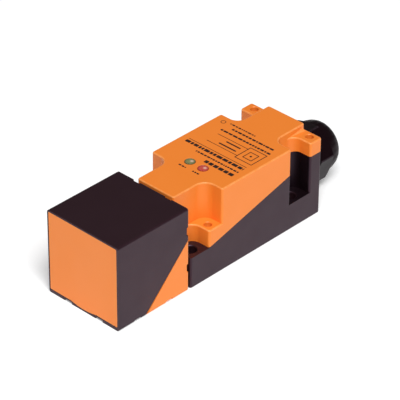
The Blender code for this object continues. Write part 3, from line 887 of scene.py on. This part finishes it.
def base_shell():
    """The black lower housing with its slanted rim, screw pockets and gland wall."""
    edge = HALF - CORNER_R
    plan = both_sides(knuckle(edge, NECK_FRONT + CORNER_R, 270, 360)
                      + knuckle(edge, REAR - CORNER_R, 0, 90))
    floor, rebate_width, rebate_depth, gland_radius = 3, 1.4, 0.9, 10.1
    shell = plate("base_shell", plan, 0, DECK_TOP, "Z")
    round_edges(shell, 0.5, lambda x, y, z: z < 0.1)
    profile = [(NECK_FRONT - PAST, -PAST), (REAR + PAST, -PAST)]
    profile += list(reversed(seam_run(0, NECK_FRONT - PAST, REAR + PAST)))
    trim(shell, plate("rim", profile, -WIDE, WIDE, "X"))
    bulkhead = block("bulkhead", (-8.3, NECK_FRONT, 12), (8.3, 45.7, 37.7))
    round_edges(bulkhead, 0.5, lambda x, y, z: abs(z - 37.7) < 0.1 or abs(x) > 8.2)
    fuse(shell, bulkhead)
    carve(shell, plate("room", room_outline(0), floor, ABOVE, "Z"))
    rebate = plate("rebate", room_outline(rebate_width), 0, ABOVE, "Z")
    above = seam_run(-rebate_depth, 46) + [(REAR, ABOVE + PAST), (46, ABOVE + PAST)]
    trim(rebate, plate("above", above, -HALF, HALF, "X"))
    carve(shell, rebate)
    carve(shell, rod("dock_hole", DOCK_HOLE_R, 40, 47, "Y", (0, DOCK_Z), 64))
    carve(shell, rod("gland_hole", gland_radius, 113, BEHIND_REAR, "Y", (0, GLAND_Z), 64))
    for x, y in HOLES:
        seat = SLOT_FLOOR if y > SLOT_FRONT else POCKET_FLOOR
        carve(shell, lathe("mounting_hole", [(0, -1), (3.9, -1), (3.4, 0), (HOLE_R, 0.5),
                                             (HOLE_R, seat - 0.3), (3.2, seat), (3.2, seat + 1),
                                             (0, seat + 1)], "Z", (x, y), 48))
    for x, y in COVER_SCREWS:
        end = 19 if y > SLOT_FRONT else 4
        carve(shell, rod("pilot", PILOT_R, end, DECK_TOP, "Z", (x, y), 24))
    for side in (-1, 1):
        carve(shell, plate("slot", slot_outline(side), SLOT_FLOOR, ABOVE, "Z"))
        for y in (65, 78):
            fuse(shell, rod("board_post", 2, 2, 11.7, "Z", (side * 14, y), 24))
    clean(shell)
    # The screw slots' walls and floor are marked for painted shade.
    mark_painted_shade(shell, lambda x, y, z: SLOT_FRONT < y < SLOT_REAR + 0.1 and abs(x) < HALF - 0.6
                and z > SLOT_FLOOR - 0.1)
    smooth(shell)
    fit(shell, "black_housing", "housing", "base_housing")


def cover_shell():
    """The orange cover: neck, two screw ledges, flat top, deck and two lower ears."""
    edge = HALF - CORNER_R
    half = knuckle(NECK_HALF - CORNER_R, NECK_FRONT + CORNER_R, 270, 360)
    half += sweep(NECK_HALF + POCKET_CORNER, SHOULDER_Y - POCKET_CORNER, POCKET_CORNER, 180, 90, 14)
    half += knuckle(edge, SHOULDER_Y + CORNER_R, 270, 360)
    half += knuckle(edge, SLOT_FRONT - CORNER_R, 0, 90)
    half += sweep(NECK_HALF + SLOT_CORNER, SLOT_FRONT + SLOT_CORNER, SLOT_CORNER, 270, 180, 14)
    half += knuckle(NECK_HALF - CORNER_R, REAR - CORNER_R, 0, 90)
    shell = plate("cover_shell", both_sides(half), POCKET_FLOOR, DECK_TOP, "Z")
    ledge = sweep(NECK_HALF + SLOT_CORNER, POCKET_Y - SLOT_CORNER, SLOT_CORNER, 180, 90, 14)
    ledge += knuckle(edge, POCKET_Y + CORNER_R, 270, 360)
    ledge.append((HALF, SHOULDER_Y + 2))
    ear = sweep(NECK_HALF + SLOT_CORNER, SLOT_REAR - SLOT_CORNER, SLOT_CORNER, 180, 90, 14)
    ear += knuckle(edge, SLOT_REAR + CORNER_R, 270, 360)
    ear += knuckle(edge, REAR - CORNER_R, 0, 90)
    round_edges(shell, EDGE_R, lambda x, y, z: z > DECK_TOP - 0.1)
    ledges = plate("ledges", both_sides(ledge), POCKET_FLOOR, LEDGE_TOP, "Z")
    ears = plate("ears", both_sides(ear), EAR_FOOT - 1, EAR_TOP, "Z")
    for tier, top in ((ledges, LEDGE_TOP), (ears, EAR_TOP)):
        round_edges(tier, EDGE_R, lambda x, y, z: z > top - 0.1)
    fuse(shell, ledges, ears)
    below = [(AHEAD_OF_NECK, 0), (BEHIND_REAR, 0)]
    below += list(reversed(seam_run(SEAM_SHOW, AHEAD_OF_NECK, BEHIND_REAR)))
    carve(shell, plate("below_seam", below, -WIDE, WIDE, "X"))
    roof, wide, neck, rear = DECK_TOP - 2, 17.6, 8.6, 8.2
    carve(shell, block("wide_room", (-wide, 61, 0), (wide, 98, roof)),
          block("neck_room", (-neck, 39, 0), (neck, 61.5, roof)),
          block("rear_room", (-rear, 97.5, 0), (rear, 117.5, roof)))
    bore, mouth, head_room = 1.75, 2.0, 5.3
    for x, y in COVER_SCREWS:
        face = EAR_TOP if y > SLOT_FRONT else LEDGE_TOP
        carve(shell, lathe("screw_hole", [(0, 0), (PILOT_R, 0), (PILOT_R, face - head_room),
                                          (bore, face - head_room), (bore, face - 0.25),
                                          (mouth, face), (mouth, face + 0.5), (0, face + 0.5)],
                           "Z", (x, y), 36))
    lens, rim = 2.38, 2.55
    for x in LAMPS.values():
        carve(shell, lathe("lens_hole", [(0, roof - 1), (lens, roof - 1), (lens, DECK_TOP - 0.15),
                                         (rim, DECK_TOP), (rim, DECK_TOP + 1),
                                         (0, DECK_TOP + 1)], "Z", (x, LAMP_Y), 40))
    clean(shell)
    round_edges(shell, 1.3, lambda x, y, z: abs(z - EAR_TOP) < 0.05 and y > SLOT_REAR
                and abs(abs(x) - NECK_HALF) < 0.05, 5)
    smooth(shell)
    fit(shell, "orange_housing", "cover", "top_cover")


# ---------------------------------------------------------------- docking between head and housing

def docking():
    """The hollow spigot the head turns on, its two sealing rings, contact pins and socket."""
    outer, inside, groove, web_front, web_rear = 5.6, 4.2, 4.7, HEAD_REAR, 42.5
    rings = (37.2, 43.2)
    profile = [(0, web_front), (inside, web_front), (inside, 35.3), (inside + 0.2, 35.05),
               (inside + 0.5, 35), (outer - 0.35, 35), (outer - 0.1, 35.1), (outer, 35.35)]
    for start in rings:
        profile += [(outer, start - 0.08), (outer - 0.08, start), (groove, start),
                    (groove, start + 1.6), (outer - 0.08, start + 1.6), (outer, start + 1.68)]
    profile += [(outer, 46), (outer - 0.35, 46.4), (inside + 0.3, 46.4), (inside, 46.1),
                (inside, web_rear), (0, web_rear)]
    spigot = lathe("docking_tube", profile, "Y", (0, DOCK_Z), 64)
    socket = block("contact_socket", (-4.5, 48.5, 15.5), (4.5, 53, 24.5))
    round_edges(socket, 0.4)
    carve(socket, block("key", (-1, 48, 23.8), (1, 54, 25)))
    pin_profile = [(0, 33), (0.25, 33), (0.42, 33.1), (0.55, 33.25), (0.6, 33.5)]
    for start in (34.6, 36):
        pin_profile += [(0.6, start), (0.5, start + 0.1), (0.5, start + 0.4), (0.6, start + 0.5)]
    pin_profile += [(0.6, 50.5), (0.55, 50.75), (0.42, 50.9), (0.25, 51), (0, 51)]
    places = [(2.4 * math.cos(math.radians(45 + 90 * k)), 2.4 * math.sin(math.radians(45 + 90 * k)))
              for k in (1, 2, 3, 4)]
    x, rise = places[0]
    pins = [lathe("contact_1", pin_profile, "Y", (x, DOCK_Z + rise), 24)]
    smooth(pins[0])
    for number, (to_x, to_rise) in enumerate(places[1:], start=2):
        pins.append(copy_of(pins[0], f"contact_{number}", (to_x - x, 0, to_rise - rise)))
    for x, rise in places:
        centre = (x, DOCK_Z + rise)
        carve(spigot, rod("pin_hole", 0.8, 39, 44, "Y", centre, 24))
        carve(socket, lathe("pin_hole", [(0, 48), (1.4, 48), (0.9, 49), (0.9, 52), (0, 52)],
                            "Y", centre, 24))
    for number, pin in enumerate(pins, start=1):
        fit(pin, "plated_brass", "dock", f"contact_pin_{number}")
    for piece, finish, body, node in ((spigot, "black_housing", "dock", "docking_spigot"),
                                      (socket, "chip_black", "housing", "docking_socket")):
        complete(piece, finish, body, node)
    front = lathe("dock_ring_front", [(5.275 + 0.425 * across, rings[0] + 0.8 + 0.55 * along)
                                      for across, along in sweep(0, 0, 1, 0, 345, 23)],
                  "Y", (0, DOCK_Z), 64)
    smooth(front, 60)
    rear = copy_of(front, "dock_ring_rear", (0, rings[1] - rings[0], 0))
    for ring, end in ((front, "front"), (rear, "rear")):
        fit(ring, "seal_rubber", "dock", f"docking_seal_{end}")


# ---------------------------------------------------------------- boards

def card(name, low, high, along, corner, holes, hole_radius):
    """A circuit board: rounded corners and drilled holes. low and high are (a, b, start/end)."""
    board = plate(name, rounded_box(low, high, corner, 6), low[2], high[2], along)
    round_edges(board, 0.06)
    for centre in holes:
        carve(board, rod("hole", hole_radius, low[2] - 1, high[2] + 1, along, centre, 28))
    clean(board)
    return smooth(board)


def leg(name, x, y, reach, shoulder, width):
    """A bent metal leg from a chip's side down to the board, pointing along +X."""
    foot, thick = 13.62, 0.16
    outline = [(x, shoulder), (x + reach * 0.45, shoulder), (x + reach * 0.62, foot + thick + 0.1),
               (x + reach, foot + thick), (x + reach, foot), (x + reach * 0.5, foot),
               (x + reach * 0.3, shoulder - thick), (x, shoulder - thick)]
    return plate(name, outline, y - width / 2, y + width / 2, "Y")


def boards():
    """The two boards in the housing, with chip, transistor, capacitor and flat lead."""
    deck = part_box("control_chip")[0].z / MM
    main = card("main_board", (-16.5, 62.5, 12), (16.5, 80.5, 13.6), "Z", 1.2,
                [(x, y) for x in (-14, 14) for y in (65, 78)] + [(-3, 67.4), (3, 67.4)], 1.1)
    fit(main, "circuit_board", "housing", "main_circuit_board")
    upright = card("upright_board", (-7.4, 3.3, 53.3), (7.4, 30, 54.9), "Y", 1.0,
                   [(-5.4, 27.6), (5.4, 27.6), (-5.4, 5.4), (5.4, 5.4)], 0.9)
    fit(upright, "circuit_board", "housing", "docking_board")

    chip = block("controller_chip", (-3.9, 69.5, deck), (3.9, 79, deck + 1.6))
    round_edges(chip, 0.18)
    carve(chip, rod("first_pin_dimple", 0.5, deck + 1.45, deck + 3, "Z", (-2.9, 70.6), 24))
    complete(chip, "chip_black", "housing", "control_chip")
    legs = [leg("board_legs", 3.85, 70.4, 1.15, deck + 0.9, 0.42)]
    for number in range(1, 7):
        legs.append(copy_of(legs[0], "leg", (0, number * 1.283, 0)))
    for right in list(legs):
        left = copy_of(right, "leg")
        legs.append(turn(left, 180, "Z", (0, 74.25)))

    power = block("power_transistor", (8, 71.4, deck), (15, 76.4, deck + 2.4))
    round_edges(power, 0.25)
    carve(power, rod("dimple", 0.6, deck + 2.2, deck + 3, "Z", (11.5, 73.9), 24))
    complete(power, "chip_black", "housing", "output_transistor")
    tab = block("tab", (8.6, 76, deck), (14.4, 77, deck + 0.8))
    round_edges(tab, 0.2)
    legs.append(tab)
    for x in (9.2, 11.5, 13.8):
        pin = leg("leg", 0, 0, 1.4, deck + 1.1, 0.7)
        turn(pin, -90, "Z", (0, 0))
        legs.append(copy_of(pin, "leg", (x, 71.45, 0)))
        bpy.data.objects.remove(pin)
    metalwork = gather("board_legs", legs)
    smooth(metalwork)
    fit(metalwork, "zinc_steel", "housing")

    x, y, r, top = -11, 74, 3.2, deck + 8
    can = lathe("capacitor_can", [(0, deck), (r - 0.4, deck), (r - 0.1, deck + 0.12),
                                  (r, deck + 0.4), (r, deck + 1.2), (r - 0.35, deck + 1.5),
                                  (r - 0.35, deck + 1.8), (r, deck + 2.1), (r, top - 0.6),
                                  (r - 0.12, top - 0.2), (r - 0.5, top), (r - 0.7, top),
                                  (r - 0.8, top - 0.15), (0, top - 0.15)], "Z", (x, y), 48)
    carve(can, block("vent", (x - 2, y - 0.15, top - 0.3), (x + 2, y + 0.15, top + 1)),
          block("vent", (x - 0.15, y - 2, top - 0.3), (x + 0.15, y + 2, top + 1)))
    complete(can, "chip_black", "housing", "capacitor")

    upper = [(55.2, 8.5), (57.8, 8.5), (59.8, 10.5), (64, 10.5), (64, 11.7), (64.5, 11.7)]
    lower = [(64.5, 10), (60, 10), (58, 8), (55.2, 8)]
    ribbon = plate("ribbon_web", upper + lower, -4.9, 4.9, "X")
    edit(ribbon)
    bpy.ops.transform.resize(value=(1, 1, 0.985), center_override=spot(0, 60, 9.9))
    shut()
    strand = plate("strand", upper + lower, -5, -3.85, "X")
    round_edges(strand, 0.12, lambda x, y, z: abs(x + 5) < 0.01 or abs(x + 3.85) < 0.01, 2)
    strands = [strand] + [copy_of(strand, "strand", (number * 1.264, 0, 0)) for number in range(1, 8)]
    fuse(ribbon, *strands)
    ribbon.name = "flat_ribbon"
    complete(ribbon, "former_plastic", "housing", "flat_lead")


# ---------------------------------------------------------------- terminals

def terminal_row():
    """The terminal strip with four poles, each with a wire cage and its screw."""
    pitch, front, rear, foot, top, screw_y = 7, 83.5, 95.5, 3.3, 17, 90
    poles = [(number, (number - 2.5) * pitch) for number in range(1, 5)]
    strip = block("terminal_strip", (-14.6, front, foot), (14.6, rear, top))
    round_edges(strip, 0.35)
    for number, x in poles:
        room = block("cage_room", (x - 2.7, 86.7, 4.7), (x + 2.7, rear + 1, 13.3))
        round_edges(room, 0.25, lambda x_, y, z: y < rear)
        carve(strip, room)
        carve(strip, lathe("driver_hole", [(0, 11), (2.1, 11), (2.1, top - 0.5), (2.5, top),
                                           (2.5, top + 1), (0, top + 1)], "Z", (x, screw_y), 36))
        if number > 1:
            carve(strip, block("gap", (x - 3.8, front - 1, top - 2.2), (x - 3.2, rear + 1, top + 1)))
    complete(strip, "terminal_plastic", "housing", "terminal_block")

    first = poles[0][1]
    cage = block("wire_cage_1", (first - 2.4, 87, 5), (first + 2.4, 93, 11))
    round_edges(cage, 0.45, lambda x, y, z: 87.1 < y < 92.9)
    window = block("window", (first - 1.5, 86, 5.9), (first + 1.5, 94, 10.1))
    round_edges(window, 0.2, lambda x, y, z: 86.5 < y < 93.5)
    carve(cage, window, rod("thread", 1.6, 9, 12, "Z", (first, screw_y), 36))
    for y in (88.4, 90, 91.6):
        carve(cage, block("bite", (first - 1.5, y - 0.2, 5.6), (first + 1.5, y + 0.2, 6)))
    clean(cage)
    smooth(cage)
    under, head_top = 13.6, 15.6
    profile = [(0, 8.3), (0.9, 8.3), (1.1, 8.5)] + thread(1.3, 0.2, 8.7, under - 0.4, 0.7)
    profile += [(1.1, under - 0.3), (1.1, under), (1.65, under), (1.8, under + 0.15),
                (1.8, head_top - 0.3), (1.7, head_top - 0.1), (1.4, head_top), (0, head_top)]
    screw = lathe("pole_screw_1", profile, "Z", (first, screw_y), 32)
    carve(screw, block("slot", (first - 3, screw_y - 0.3, 14.8), (first + 3, screw_y + 0.3, 17)))
    clean(screw)
    smooth(screw)
    for number, x in poles:
        shift = (x - first, 0, 0)
        for made, name, node in ((cage, "wire_cage", "terminal_clamp"),
                                 (screw, "pole_screw", "terminal_screw")):
            piece = made if number == 1 else copy_of(made, f"{name}_{number}", shift)
            fit(piece, "zinc_steel", f"{node}_{number}", f"{node}_{number}")


# ---------------------------------------------------------------- cable gland

def hexagon(flats, lean=0):
    """A hexagon across the gland's axis, as (x, z) points."""
    return sweep(0, GLAND_Z, flats / math.sqrt(3), lean, lean + 300, 5)


def thread(radius, depth, start, end, pitch=1.5):
    """Profile points of a thread's crests and roots between two positions."""
    points = []
    position = start
    while position + pitch <= end + 0.001:
        points += [(radius, position + 0.1), (radius, position + 0.3),
                   (radius - depth, position + pitch * 0.55), (radius - depth, position + pitch * 0.7)]
        position += pitch
    return points


def hex_bar(name, flats, lean, low, high, corner, chamfer):
    """A hexagon bar along the gland, its long corners eased and both its ends turned off."""
    bar = plate(name, hexagon(flats, lean), low, high, "Y")
    round_edges(bar, corner, lambda x, y, z: low + 0.1 < y < high - 0.1)
    face = flats / 2 - 0.1
    tip = flats / math.sqrt(3)
    trim(bar, lathe("turning", [(0, low), (face, low), (face + 0.3, low + 0.08),
                                (tip, low + chamfer), (tip, high - chamfer),
                                (face + 0.3, high - 0.08), (face, high), (0, high)],
                    "Y", (0, GLAND_Z), 72), solver="MANIFOLD")
    return bar


def gland_screw():
    """The gland's body: threaded both ways from a hexagon collar, open for the cable."""
    bore, through, nut_side = 7, 9.8, 10.3
    profile = [(bore, 114.3), (bore + 0.3, 114), (through - 0.5, 114)]
    profile += thread(through, 0.45, 114.4, 120.4)
    profile += [(through, 121), (through, 123), (nut_side - 0.3, 126.2), (nut_side, 126.6)]
    profile += thread(nut_side, 0.5, 127.2, 134.7)
    profile += [(nut_side - 0.3, 135), (9.6, 135), (9.4, 134.8), (9.4, 128), (bore, 128)]
    body = lathe("gland_screw", profile, "Y", (0, GLAND_Z), 72)
    collar = hex_bar("collar", GLAND_FLATS, 0, 121.8, 126.3, 0.5, 0.9)
    carve(collar, rod("bore", 8.5, 121, 127, "Y", (0, GLAND_Z), 72), solver="MANIFOLD")
    fuse(body, collar, solver="MANIFOLD")
    complete(body, "gland_black", "housing", "gland_body")


def dome_nut():
    """The clamping nut: a hexagon running into a ribbed dome with the cable mouth."""
    mouth, shoulder, foot, tip = 6.6, 12.0, 136.2, 144
    nut = hex_bar("dome_nut", NUT_FLATS, NUT_LEAN, 126.8, 136.4, 0.5, 1.0)
    profile = [(9, 135.6), (shoulder, 135.6)]
    for reach, rise in sweep(0, 0, 1, 0, 86, 12):
        profile.append((8.6 + (shoulder - 8.6) * reach, foot + (tip - foot) * rise))
    profile += [(mouth + 0.7, tip), (mouth + 0.25, tip - 0.12), (mouth, tip - 0.5), (mouth, 142)]
    dome = lathe("dome", profile, "Y", (0, GLAND_Z), 96)
    edit(dome, pick="NONE")
    form = bmesh.from_edit_mesh(dome.data)
    for vert in form.verts:
        x, y, z = vert.co.x / MM, (vert.co.y - FACE_Y) / MM, vert.co.z / MM - GLAND_Z
        column = round(math.degrees(math.atan2(z, x)) / 3.75)
        vert.select = column % 4 == 0 and math.hypot(x, z) > 9.4 and 137.5 < y < 143.4
    bmesh.update_edit_mesh(dome.data)
    bpy.ops.transform.resize(value=(0.99, 1, 0.99), center_override=spot(0, foot, GLAND_Z))
    shut()
    fuse(nut, dome, solver="MANIFOLD")
    inside = [(0, 126), (10.9, 126), (11.2, 126.9)] + thread(11.15, 0.4, 127, 136.2)
    inside += [(10.7, 136.9), (9.6, 139.4), (mouth + 0.2, 141.6), (mouth + 0.2, 142.2), (0, 142.2)]
    carve(nut, lathe("nut_thread", inside, "Y", (0, GLAND_Z), 72),
          rod("mouth", mouth, 141, tip + PAST, "Y", (0, GLAND_Z), 96), solver="MANIFOLD")
    clean(nut)
    smooth(nut, 36)
    fit(nut, "gland_black", "gland_nut", "gland_nut")


def gland_rubber():
    """The ribbed sealing bush inside the gland and the ring against the housing."""
    profile = [(6.85, 128.4), (7.6, 128.4), (7.9, 128.7), (7.9, 138.3), (7.4, 139.9), (7.2, 140),
               (6.8, 140)]
    for ridge in (138.4, 136.2, 134, 131.8, 129.6):
        profile += [(6.65, ridge + 0.9), (6.6, ridge + 0.6), (6.65, ridge + 0.3), (6.95, ridge)]
    bush = lathe("sealing_bush", profile, "Y", (0, GLAND_Z), 56)
    smooth(bush)
    fit(bush, "seal_rubber", "housing", "gland_seal")
    ring = lathe("gland_ring", [(radius, 120.9 + height) for radius, height in
                                sweep(11.05, 0, 0.84, 0, 345, 23)], "Y", (0, GLAND_Z), 64)
    edit(ring)
    bpy.ops.transform.resize(value=(1, 0.7, 1), center_override=spot(0, 120.9, GLAND_Z))
    shut()
    smooth(ring, 60)
    fit(ring, "seal_rubber", "housing", "gland_washer")


# ---------------------------------------------------------------- screws and lamps

def cheese_screw(name, x, y, foot, top):
    """A slotted screw: eased head, slot, thread and a pointed foot."""
    head, shank, under = 1.45, 1.1, top - 2
    profile = [(0, foot), (0.55, foot), (shank - 0.2, foot + 0.9)]
    profile += thread(shank, 0.22, foot + 1.1, under - 1.2, 0.6)
    profile += [(shank - 0.2, under - 0.9), (shank, under), (head - 0.12, under), (head, under + 0.12),
                (head, top - 0.35), (head - 0.12, top - 0.1), (head - 0.4, top), (0, top)]
    screw = lathe(name, profile, "Z", (x, y), 32)
    carve(screw, block("slot", (x - 2, y - 0.25, top - 0.8), (x + 2, y + 0.25, top + 1)))
    clean(screw)
    return smooth(screw)


def lid_screws():
    """The four cover screws: one made for each end, its twin copied across."""
    for end, low, high in (("front", 1, 2), ("rear", 3, 4)):
        foot, top = (corner.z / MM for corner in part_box(f"cover_screw_{low}"))
        x, y = COVER_SCREWS[low - 1]
        left = cheese_screw(f"lid_screw_{end}_left", x, y, foot, top)
        right = copy_of(left, f"lid_screw_{end}_right", (-2 * x, 0, 0))
        for screw, number in ((left, low), (right, high)):
            body = frame["nodes"][f"cover_screw_{number}"]["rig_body"]
            fit(screw, "zinc_steel", body, f"cover_screw_{number}")


def lamp_window():
    """The green light guide: a stem under the cover, a stop flange and a low domed lens."""
    x, stem, flange = LAMPS["green"], 2.3, DECK_TOP - 2.3
    low, high = (corner.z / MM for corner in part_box("light_guide_green"))
    profile = [(0, low), (stem - 0.5, low), (stem - 0.1, low + 0.15), (stem, low + 0.5),
               (stem, flange - 1), (stem + 0.6, flange - 1), (stem + 0.7, flange - 0.9),
               (stem + 0.7, flange - 0.1), (stem + 0.6, flange), (stem, flange),
               (stem, DECK_TOP - 0.05)]
    for step in range(1, 9):
        reach = stem * math.cos(math.radians(step * 90 / 8))
        profile.append((reach if step < 8 else 0,
                        DECK_TOP + (high - DECK_TOP) * math.sin(math.radians(step * 90 / 8))))
    lens = lathe("lamp_window_green", profile, "Z", (x, LAMP_Y), 48)
    return smooth(lens, 28)


def lamp_chip():
    """The green lamp on the board: a square foot with a domed top."""
    x, deck = LAMPS["green"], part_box("led_green")[0].z / MM
    foot = block("lamp_green", (x - 1.3, LAMP_Y - 1.3, deck), (x + 1.3, LAMP_Y + 1.3, deck + 0.9))
    round_edges(foot, 0.2)
    dome = lathe("dome", [(0, deck + 0.5), (1, deck + 0.5)] +
                 [(1.0 * math.cos(math.radians(a)), deck + 1.4 + 1.1 * math.sin(math.radians(a)))
                  for a in (0, 15, 30, 45, 60, 75)] + [(0, deck + 2.5)], "Z", (x, LAMP_Y), 28)
    fuse(foot, dome)
    clean(foot)
    return smooth(foot)


def lamps():
    """Both lamps and their windows: the green ones made, the red ones copied across."""
    across = LAMPS["red"] - LAMPS["green"]
    window, chip = lamp_window(), lamp_chip()
    red_window = copy_of(window, "lamp_window_red", (across, 0, 0))
    red_chip = copy_of(chip, "lamp_red", (across, 0, 0))
    for colour, guide, diode in (("green", window, chip), ("red", red_window, red_chip)):
        slot = f"{colour}_lens"
        fit(guide, slot, "cover", f"light_guide_{colour}")
        fit(diode, slot, "housing", f"led_{colour}")


# ---------------------------------------------------------------- printing

def ink_bar(x_low, x_high, y_low, y_high):
    """A printed bar with eased corners."""
    eased = min(0.25, (y_high - y_low) / 2 - 0.01, (x_high - x_low) / 2 - 0.01)
    outline = rounded_box((x_low, y_low), (x_high, y_high), eased, 3)
    return plate("ink", outline, INK_LOW, INK_HIGH, "Z")


def ink_row(start, end, y, height, dice, longest=3.2):
    """A row of plain dashes of uneven length, filling a line from start to end."""
    bars = []
    x = start
    while x < end - 0.3:
        length = min(end - x, longest * dice.uniform(0.35, 1))
        bars.append(ink_bar(x, x + length, y - height / 2, y + height / 2))
        x += length + max(0.35, height * 0.25)
    return bars


def printed_marks():
    """Plain dashes where the cover is printed, with a framed plain diagram and two leads."""
    dice = random.Random(5)
    bars = []
    # Each row: from, to, how far back, height and longest dash.
    for start, end, y, height, longest in (
            (0.4, 16.6, 69.7, 1.9, 2.6), (-7.6, 16.3, 72.8, 0.95, 1.8), (-16.3, 16.2, 75.9, 1.7, 3.0),
            (-11.6, 16.3, 92.0, 1.05, 2.6), (-8.3, 15.7, 95.3, 1.05, 2.4),
            (-11.8, 2.4, 98.0, 0.8, 2.0), (-5.6, -1.6, 60.6, 0.85, 1.4), (2.0, 6.2, 60.7, 0.85, 1.4)):
        bars += ink_row(start, end, y, height, dice, longest)
    bars.append(ink_bar(-16.4, 16.2, 77.65, 77.95))
    left, right, low, high, line = 6.9, 16.4, 80.3, 90.3, 0.4
    diagram = [ink_bar(*spans) for spans in (
        (left, right, low, low + line), (left, right, high - line, high),
        (left, left + line, low, high), (right - line, right, low, high),
        (-10.2, left + 0.1, 81.75, 82.05), (-10.2, left + 0.1, 88.45, 88.75),
        (9.2, 14.2, 82.6, 83.0), (9.2, 14.2, 87.4, 87.8), (9.2, 9.6, 82.6, 87.8),
        (13.8, 14.2, 82.6, 87.8), (-5, 4.6, 83.4, 84.2), (-3.4, 4.6, 86.2, 87.0))]
    bars.append(fuse(diagram[0], *diagram[1:], solver="MANIFOLD"))
    bars.append(lathe("spot", [(0, INK_LOW), (0.55, INK_LOW), (0.55, INK_HIGH), (0, INK_HIGH)],
                      "Z", (11.7, 85.2), 24))
    bars.append(lathe("ring", [(0.9, INK_LOW), (1.2, INK_LOW), (1.2, INK_HIGH), (0.9, INK_HIGH)],
                      "Z", (-14.9, 97), 32))
    marks = gather("printed_marks", bars)
    wear(marks, printed_ink("printing_ink"))
    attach(marks, "cover")


# ---------------------------------------------------------------- studio

def studio():
    """Pale floor, one broad soft light and the camera above the head's right front corner."""
    world = bpy.data.worlds.new("studio")
    world.use_nodes = True
    sky = world.node_tree.nodes["Background"]
    sky.inputs["Color"].default_value = (0.97, 0.98, 1.0, 1)
    sky.inputs["Strength"].default_value = 0.13
    bpy.context.scene.world = world
    bpy.context.scene.view_settings.view_transform = "Standard"

    let_go()
    bpy.ops.mesh.primitive_circle_add(vertices=96, radius=6, fill_type="NGON",
                                      location=(0, 0, BASE_LOW.z - 0.05 * MM))
    floor = settle("floor")
    paper = Finish("floor_paper", (0.9, 0.9, 0.9), 0.9)
    paper.set("Base Color", paper.mix(paper.noise(40, 2), (0.89, 0.89, 0.89), (0.91, 0.91, 0.91)))
    paper.set("Emission Color", (1, 1, 1, 1))
    paper.set("Emission Strength", 0.22)
    floor.data.materials.append(paper.material)

    aim = spot(0, 60, 20)
    lamp = bpy.data.lights.new("key", "AREA")
    lamp.size = 1.3
    lamp.energy = 83
    stand = bpy.data.objects.new("key", lamp)
    bpy.context.scene.collection.objects.link(stand)
    stand.location = (1.19, -0.87, 2.35)
    stand.rotation_euler = (aim - stand.location).to_track_quat("-Z", "Y").to_euler()

    turn_angle, height_angle, roll = (math.radians(angle) for angle in (43.568, 33.622, 0.399))
    back = Vector((math.sin(turn_angle) * math.cos(height_angle),
                   -math.cos(turn_angle) * math.cos(height_angle), math.sin(height_angle)))
    right = (-back).cross(Vector((0, 0, 1))).normalized()
    up = right.cross(-back)
    level_right = right * math.cos(roll) + up * math.sin(roll)
    level_up = up * math.cos(roll) - right * math.sin(roll)
    eye = bpy.data.cameras.new("camera")
    eye.lens = 231.9
    eye.sensor_width = 36
    eye.clip_start = 0.01
    eye.clip_end = 30
    camera = bpy.data.objects.new("camera", eye)
    bpy.context.scene.collection.objects.link(camera)
    distance, aside, above = 1060.3 * MM, 5.144 * MM, 4.327 * MM
    camera.location = aim + back * distance + level_right * aside + level_up * above
    camera.rotation_euler = Matrix((level_right, level_up, back)).transposed().to_euler()
    bpy.context.scene.camera = camera


def dress_frame():
    """Every node of the frame that is still shown gets the finish of its slot."""
    for part in frame["record"]["subparts"]:
        node = frame["nodes"][part["node"]]
        for place in node.material_slots:
            place.material = finishes[part["material_slot"]]


finishes = mix_finishes()
studio()
dress_frame()
head_shell()
sensing_block()
port_plug()
back_plate()
base_shell()
cover_shell()
lid_screws()
lamps()
docking()
boards()
terminal_row()
gland_screw()
dome_nut()
gland_rubber()
printed_marks()
